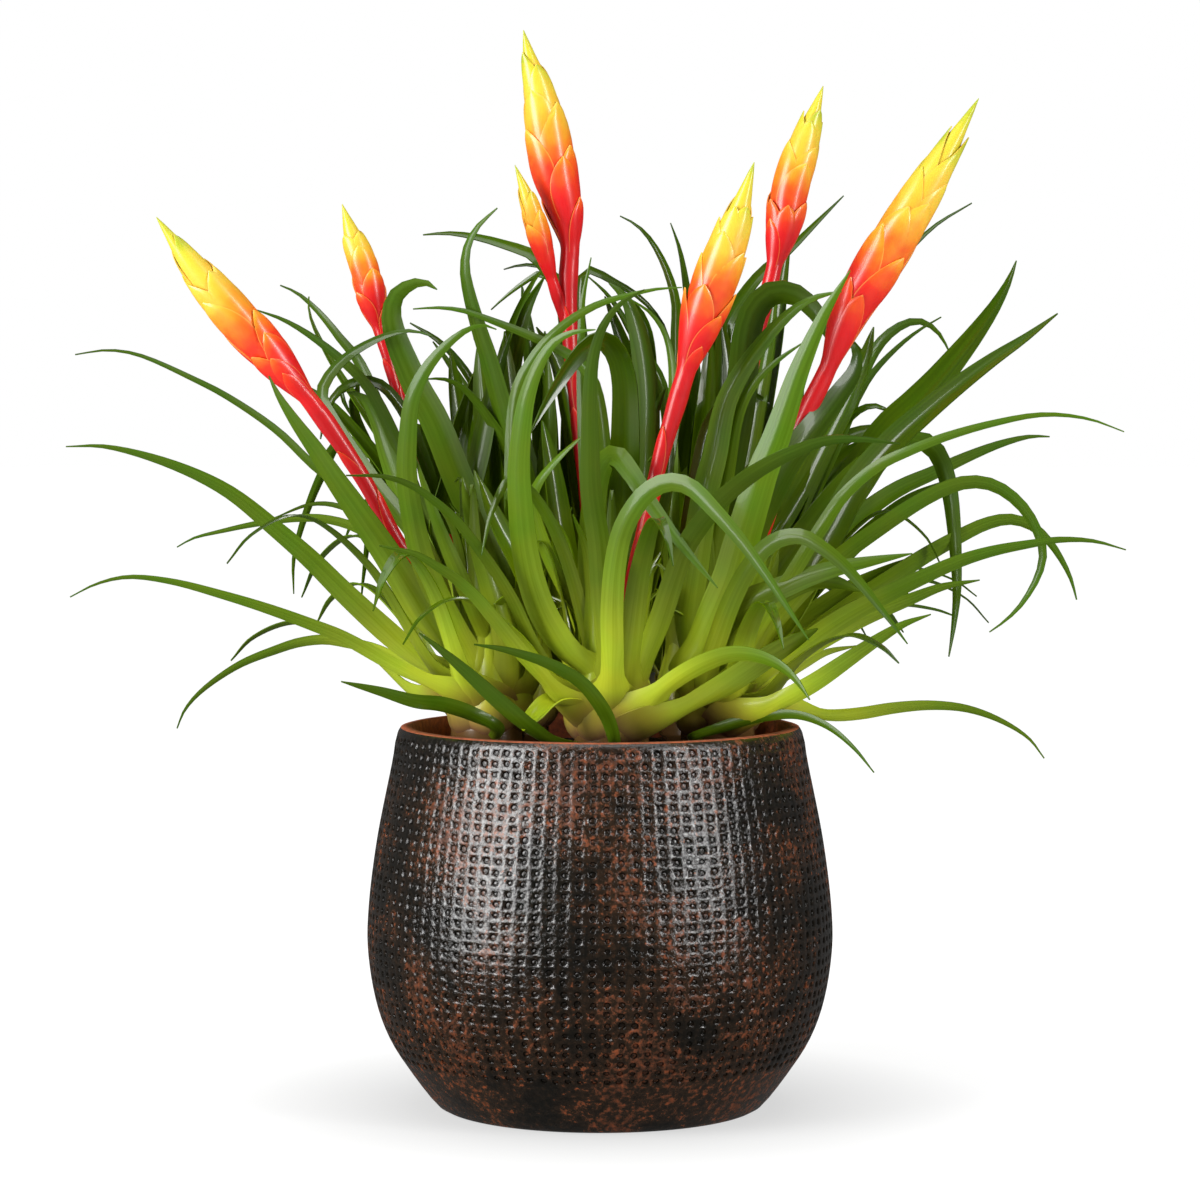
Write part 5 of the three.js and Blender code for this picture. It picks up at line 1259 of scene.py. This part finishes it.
def leaf_part(blade, leaf, tone):
    """One leaf, laid from the flat blade along its midrib."""
    path = Path(leaf["points"])
    u, v = corners_of(blade)[:, :2].T
    share = np.unique(np.round((v + 1) / 2, 6))
    row = np.searchsorted(share, np.round((v + 1) / 2, 6))
    at, along = path.at(share), path.along(share)
    normal = carried(along, leaf["inward"])
    across = np.cross(along, normal)
    # the roll turns the upper face to the front, whichever way the leaf runs
    hand = -1 if across[:, 1].sum() > 0 else 1
    turn = -math.radians(leaf["roll"]) * hand * eased(0.05, 0.4, share)[:, None]
    across = across * np.cos(turn) - normal * np.sin(turn)
    grown = share * path.length
    half = leaf_half(leaf, share, path.length)
    if leaf["drawn"]:
        across, shown = turned_to_eye(at, along, across, grown)
        half *= between(1, BLADE_SPREAD / np.maximum(shown, 0.6), eased(50, 120, grown))
    else:
        half *= BLADE_FULLNESS
    normal = np.cross(across, along)
    # a blade narrows where it bends sharply in its own plane, so that it doesn't fold over
    sideways = np.abs(np.sum(np.gradient(along, grown, axis=0) * across, axis=1))
    half = np.minimum(half, SAG / np.maximum(sideways, 0.004))
    rise = half * between(*RISE, eased(40, 120, grown))
    fold = between(*FOLD, eased(60, 150, grown))
    corners = (
        at[row] + across[row] * (u * half[row])[:, None]
        + normal[row] * (rise[row] * np.abs(u) ** fold[row])[:, None]
    )
    flat = np.stack([u * half[row], grown[row]], axis=-1)
    buried = 0 if leaf["sheath"] else BURIED
    marks = {"grown": grown[row] + buried, "tone": np.full(len(u), tone)}
    return shaped_copy(blade, corners, flat, marks)


def crown_part(stem, plant):
    """The short swollen stem that the sheaths clasp."""
    x, y, z = corners_of(stem).T
    share = z / z.max()
    radius = np.interp(share, *STEM_RADII)
    foot = np.array([*PLANTS[plant]["centre"], MIX_TOP + 0.4])
    corners = foot + np.stack([x * radius, y * radius, STEM_HEIGHT * share], axis=-1)
    flat = np.stack([np.arctan2(y, x) * radius, STEM_HEIGHT * share], axis=-1)
    marks = {"grown": 6 + 40 * share, "tone": np.full(len(x), STEM_TONE)}
    return shaped_copy(stem, corners, flat, marks)


def rosette(plant, blade, stem, finishes):
    """One plant's leaves and stem: those that the frame has, where it has them, and the basal
    and inner ones between."""
    node = f"rosette_{plant}"
    solid = BVHTree.FromObject(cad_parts[node], bpy.context.evaluated_depsgraph_get())
    drawn = [
        best_bend(solid, lambda bend, leaf=leaf: drawn_leaf(leaf, bend))
        for leaf in LEAVES if leaf[0] == plant
    ]
    ruled = [
        best_bend(solid, lambda bend, leaf=leaf: bent_leaf(leaf, bend))
        for leaf in ruled_leaves(plant)
    ]
    outer = [leaf for leaf, _ in drawn] + basal_leaves(plant)
    inner = [leaf for leaf, off in ruled if off < BUILT_WITHIN]
    inner += [
        dict(drawn_leaf(leaf, 0), fullness=INNER_FULLNESS)
        for leaf in INNER_LEAVES if leaf[0] == plant
    ]
    draw = seeded(len(plant))
    parts = [leaf_part(blade, leaf, between(*TONES[plant], draw())) for leaf in outer]
    # the inner leaves reach darker tones, a painted shade inside the clump
    parts += [leaf_part(blade, leaf, between(*SHADED_INNER_TONES, draw())) for leaf in inner]
    parts.append(crown_part(stem, plant))
    piece = joined(parts, f"leaves_{plant}", *finishes)
    apply(piece, "SOLIDIFY", thickness=BLADE_THICKNESS * MM, offset=-1, material_offset=1)
    shade_round(piece)
    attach(piece, "root")
    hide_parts(node)


# ---------- the flower spikes ----------
def head_swell(share):
    """Outer radius of a flower head as a share of its greatest, from its foot to its tip."""
    share = np.clip(share, 0, 1)
    rising = np.sin(np.minimum(share / WIDEST, 1) * math.pi / 2) ** 1.1
    falling = np.cos(np.maximum(share - WIDEST, 0) / (1 - WIDEST) * math.pi / 2) ** 0.95
    return rising * np.where(share < WIDEST, 1, falling)


class Head:
    """A spike's axis with its swelling: where each bract starts, runs and ends."""

    def __init__(self, spec, rooted_at=None):
        points = [placed(point) for point in spec["spike"]]
        if rooted_at:
            x, y = rooted_at
            points = [np.array([x, y, MIX_TOP - 12.0]), np.array([x, y, MIX_TOP + 30.0]), *points]
        self.path = Path(points)
        self.spec = spec
        self.foot = 1 - spec["head"] / self.path.length

    def place(self, share):
        """How far up the head a share of the whole axis is: 0 at its foot and 1 at its tip."""
        return (share - self.foot) / (1 - self.foot)

    def radius(self, share):
        """The scape, which thickens up to the head and thins inside it, then the head."""
        place = self.place(share)
        scape = 0.84 * self.spec["scape"] * (1 - 0.9 * eased(0.2, 1, place))
        scape = scape * (1 + 0.35 * np.exp(7 * np.minimum(place, 0)))
        return np.maximum(scape, self.spec["swell"] * head_swell(place))

    def sides(self, share):
        """The directions to the front and to the right of the axis."""
        along = self.path.along(share)
        front = unit(np.array([0, -1, 0]) - along * (along @ np.array([0, -1, 0]))[:, None])
        return front, np.cross(along, front)

    def drawn_tip(self, across, height):
        """The share of the axis beside a tip seen from the front, its way round the axis, and
        how far it stands off the head."""
        shares = np.linspace(self.foot - 0.1, 1, 200)
        real = self.path.at(shares)
        spread = 1 + real[:, 1] / EYE_DISTANCE
        drawn = np.stack([real[:, 0] / spread, EYE_HEIGHT - (EYE_HEIGHT - real[:, 2]) / spread], -1)
        away = np.array([across, height]) - drawn
        nearest = np.argmin(np.hypot(*away.T))
        run = drawn[min(nearest + 1, 199)] - drawn[max(nearest - 1, 0)]
        offset = (away[nearest] @ np.array([run[1], -run[0]])) / np.hypot(*run)
        room = self.radius(shares[nearest]) + 1.2
        angle = math.asin(max(-1, min(1, offset / room)))
        return shares[nearest], angle, max(0, abs(offset) - room)


def bract_part(blade, head, tip, angle, length, spread, flare=0.0, hug=0.0):
    """One boat-shaped bract from its foot under the others to its pointed tip."""
    u, v = corners_of(blade)[:, :2].T
    t = (v + 1) / 2
    rows = np.unique(np.round(t, 6))
    row = np.searchsorted(rows, np.round(t, 6))
    share = tip - (1 - rows) * length / head.path.length
    at, radius = head.path.at(share), head.radius(share)
    front, right = head.sides(share)
    outline = np.sin(math.pi * between(0.17, 1, rows)) ** 0.72
    outline = np.maximum(outline, 0.015)
    reach = radius * (1 - (0.2 - hug) * (1 - rows) ** 1.5) + 0.4 + 0.8 * rows**2 + flare * rows**3
    around = angle + u * (spread * outline)[row]
    out = front[row] * np.cos(around)[:, None] + right[row] * np.sin(around)[:, None]
    lying = reach[row] - 0.06 * reach[row] * np.abs(u) ** 3 + 0.08 * np.exp(-(u / 0.25) ** 2)
    corners = at[row] + out * lying[:, None]
    place = np.clip(head.place(tip), 0, 1)
    ripe = between(RIPE_FOOT, RIPE_TIP, place**1.5) + RIPER_TIP * t**1.8 * (1 - 0.5 * place)
    flat = np.stack([u * (spread * outline * reach)[row], t * length], axis=-1)
    marks = {"ripe": ripe, "margin": np.maximum(np.abs(u), 0.4 + 0.6 * t**6)}
    return shaped_copy(blade, corners, flat, marks)


def stem_part(stem, head):
    """The scape and the core that the bracts cover, which ends in the closed bud at the tip."""
    x, y, z = corners_of(stem).T
    share = z / z.max()
    rows = np.unique(share)
    row = np.searchsorted(rows, share)
    place = head.place(rows)
    within = between(between(1, 0.86, eased(0, 0.2, place)), 1.04, eased(0.92, 0.98, place))
    core = within * head.radius(rows)
    core = np.maximum(core * np.clip((1.002 - rows) / 0.02, 0.05, 1) ** 0.5, 0.25)
    front, right = head.sides(rows)
    out = front[row] * x[:, None] + right[row] * y[:, None]
    corners = head.path.at(rows)[row] + out * core[row][:, None]
    flat = np.stack([np.arctan2(y, x) * core[row], share * head.path.length], axis=-1)
    ripe = np.clip(0.06 + 0.94 * place[row], 0, 1)
    marks = {"ripe": ripe, "margin": np.zeros(len(x))}
    return shaped_copy(stem, corners, flat, marks)


def head_parts(blade, stem, head):
    """The stem with a bract at each tip that shows from the front, another behind each of
    those, and a few down the scape."""
    spec = head.spec
    parts = [stem_part(stem, head)]
    for across, height in spec["tips"]:
        share, angle, flare = head.drawn_tip(across, height)
        place = head.place(share)
        length = between(*BRACT_LENGTHS, np.clip(place, 0, 1)) * spec["head"]
        spread = between(*BRACT_SPREADS, eased(0.5, 0.85, place))
        parts.append(bract_part(blade, head, share, angle, length, spread, flare))
        behind = min(share + 0.04 * (1 - head.foot), 0.95)
        parts.append(bract_part(blade, head, behind, angle + math.pi, length, spread))
    for place, angle in SCAPE_BRACTS:
        share = head.foot + place * (1 - head.foot)
        if share > SCAPE_BRACTS_FROM:
            length = SCAPE_BRACT_LENGTH * spec["head"]
            parts.append(bract_part(
                blade, head, share, angle, length, SCAPE_BRACT_SPREAD, flare=0.2, hug=0.2))
    return parts


def spike(plant, blade, stem, finish):
    """One plant's spike; the tallest has a short branch."""
    spec = PLANTS[plant]
    parts = head_parts(blade, stem, Head(spec, spec["centre"]))
    if plant == "middle_back":
        parts += head_parts(blade, stem, Head(SIDE_SPIKE))
    piece = joined(parts, f"spike_{plant}", finish)
    apply(piece, "SOLIDIFY", thickness=BRACT_THICKNESS * MM, offset=-1)
    shade_round(piece)
    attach(piece, "root")
    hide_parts(f"flower_spike_{plant}")


# ---------- the studio ----------
def paper_floor():
    """A pale sheet of paper that glows a little more with each step away from the pot, so that only
    the pot's own shadow shows on it. The glow is painted light, and where it fades towards the
    pot's foot it paints a soft shadow round the pot."""
    bpy.ops.object.select_all(action="DESELECT")
    bpy.ops.mesh.primitive_plane_add(size=40)
    floor = bpy.context.object
    floor.name = "studio_floor"
    paper, tree, principled = new_finish("pale_paper")
    away = add_node(tree, "ShaderNodeVectorMath", {
        0: add_node(tree, "ShaderNodeTexCoord", out="Object"),
    }, out="Value", operation="LENGTH")
    # painted shadow: the glow is weakest close to the pot's foot and rises towards white a little
    # way out
    near = add_node(tree, "ShaderNodeMapRange", {
        "Value": away, "From Min": 0.12, "From Max": 0.28, "To Min": 0.6, "To Max": 0.87,
    })
    far = add_node(tree, "ShaderNodeMapRange", {
        "Value": away, "From Min": 0.28, "From Max": 0.8, "To Max": 0.13,
    })
    painted_glow = add_node(tree, "ShaderNodeMath", {0: near, 1: far}, operation="ADD")
    feed(tree, principled, {
        "Base Color": linear("#686867"), "Roughness": 0.9, "Emission Color": (1, 1, 1, 1),
        "Emission Strength": painted_glow,
    })
    floor.data.materials.append(paper)
    floor.visible_glossy = False


def white_surround():
    """White where the eye sees it, and only faintly lit for everything else."""
    world = bpy.data.worlds.new("studio_surround")
    bpy.context.scene.world = world
    world.use_nodes = True
    tree = world.node_tree
    seen = tree.nodes["Background"]
    feed(tree, seen, {"Color": (1, 1, 1, 1), "Strength": 1.0})
    lit = add_node(tree, "ShaderNodeBackground", {"Color": (1, 1, 1, 1), "Strength": 0.08})
    mixed = add_node(tree, "ShaderNodeMixShader", {
        0: add_node(tree, "ShaderNodeLightPath", out="Is Camera Ray"), 1: lit,
        2: seen.outputs["Background"],
    })
    feed(tree, tree.nodes["World Output"], {"Surface": mixed})


def softbox(name, place, width, height, watts):
    """A soft light that hangs at a place and faces straight down."""
    lamp = bpy.data.lights.new(name, "AREA")
    lamp.shape = "RECTANGLE"
    lamp.size = width
    lamp.size_y = height
    lamp.energy = watts
    held = bpy.data.objects.new(name, lamp)
    held.location = place
    bpy.context.collection.objects.link(held)
    return held


def soft_lights():
    """Two tall soft lights in front that face the plant, and a broad one overhead."""
    for name, (compass, width, height, middle, watts) in SOFTBOXES.items():
        angle = math.radians(compass)
        place = (SOFTBOX_DISTANCE * math.cos(angle), SOFTBOX_DISTANCE * math.sin(angle), middle)
        held = softbox(name, place, width, height, watts)
        facing = Vector(SOFTBOX_TARGET) - held.location
        held.rotation_euler = facing.to_track_quat("-Z", "Y").to_euler()
    softbox("overhead_softbox", OVERHEAD_PLACE, OVERHEAD_SIZE, OVERHEAD_SIZE, OVERHEAD_WATTS)


def camera():
    """The eye: in front of the pot's axis, looking very slightly down."""
    lens = bpy.data.cameras.new("camera")
    lens.sensor_width = SENSOR
    lens.lens = LENS
    held = bpy.data.objects.new("camera", lens)
    held.location = (0, -EYE_DISTANCE * MM, EYE_HEIGHT * MM)
    held.rotation_euler = (math.radians(90 - LOOKS_DOWN), 0, 0)
    bpy.context.collection.objects.link(held)
    bpy.context.scene.camera = held
    bpy.context.scene.view_settings.view_transform = "Standard"


# ---------- everything together ----------
camera()
paper_floor()
white_surround()
soft_lights()
glazed_pot()
bark_mix()
leaf_blade = flat_blade(8, 44)
bract_blade = flat_blade(10, 16)
stem_column = column(20, 60)
stem_column.data.uv_layers.new(name=leaf_blade.data.uv_layers.active.name)
leaf_finishes = leaf_upper(), leaf_under()
bract_finish = waxy_bract()
for plant in PLANTS:
    rosette(plant, leaf_blade, stem_column, leaf_finishes)
    spike(plant, bract_blade, stem_column, bract_finish)
removed(leaf_blade, bract_blade, stem_column)
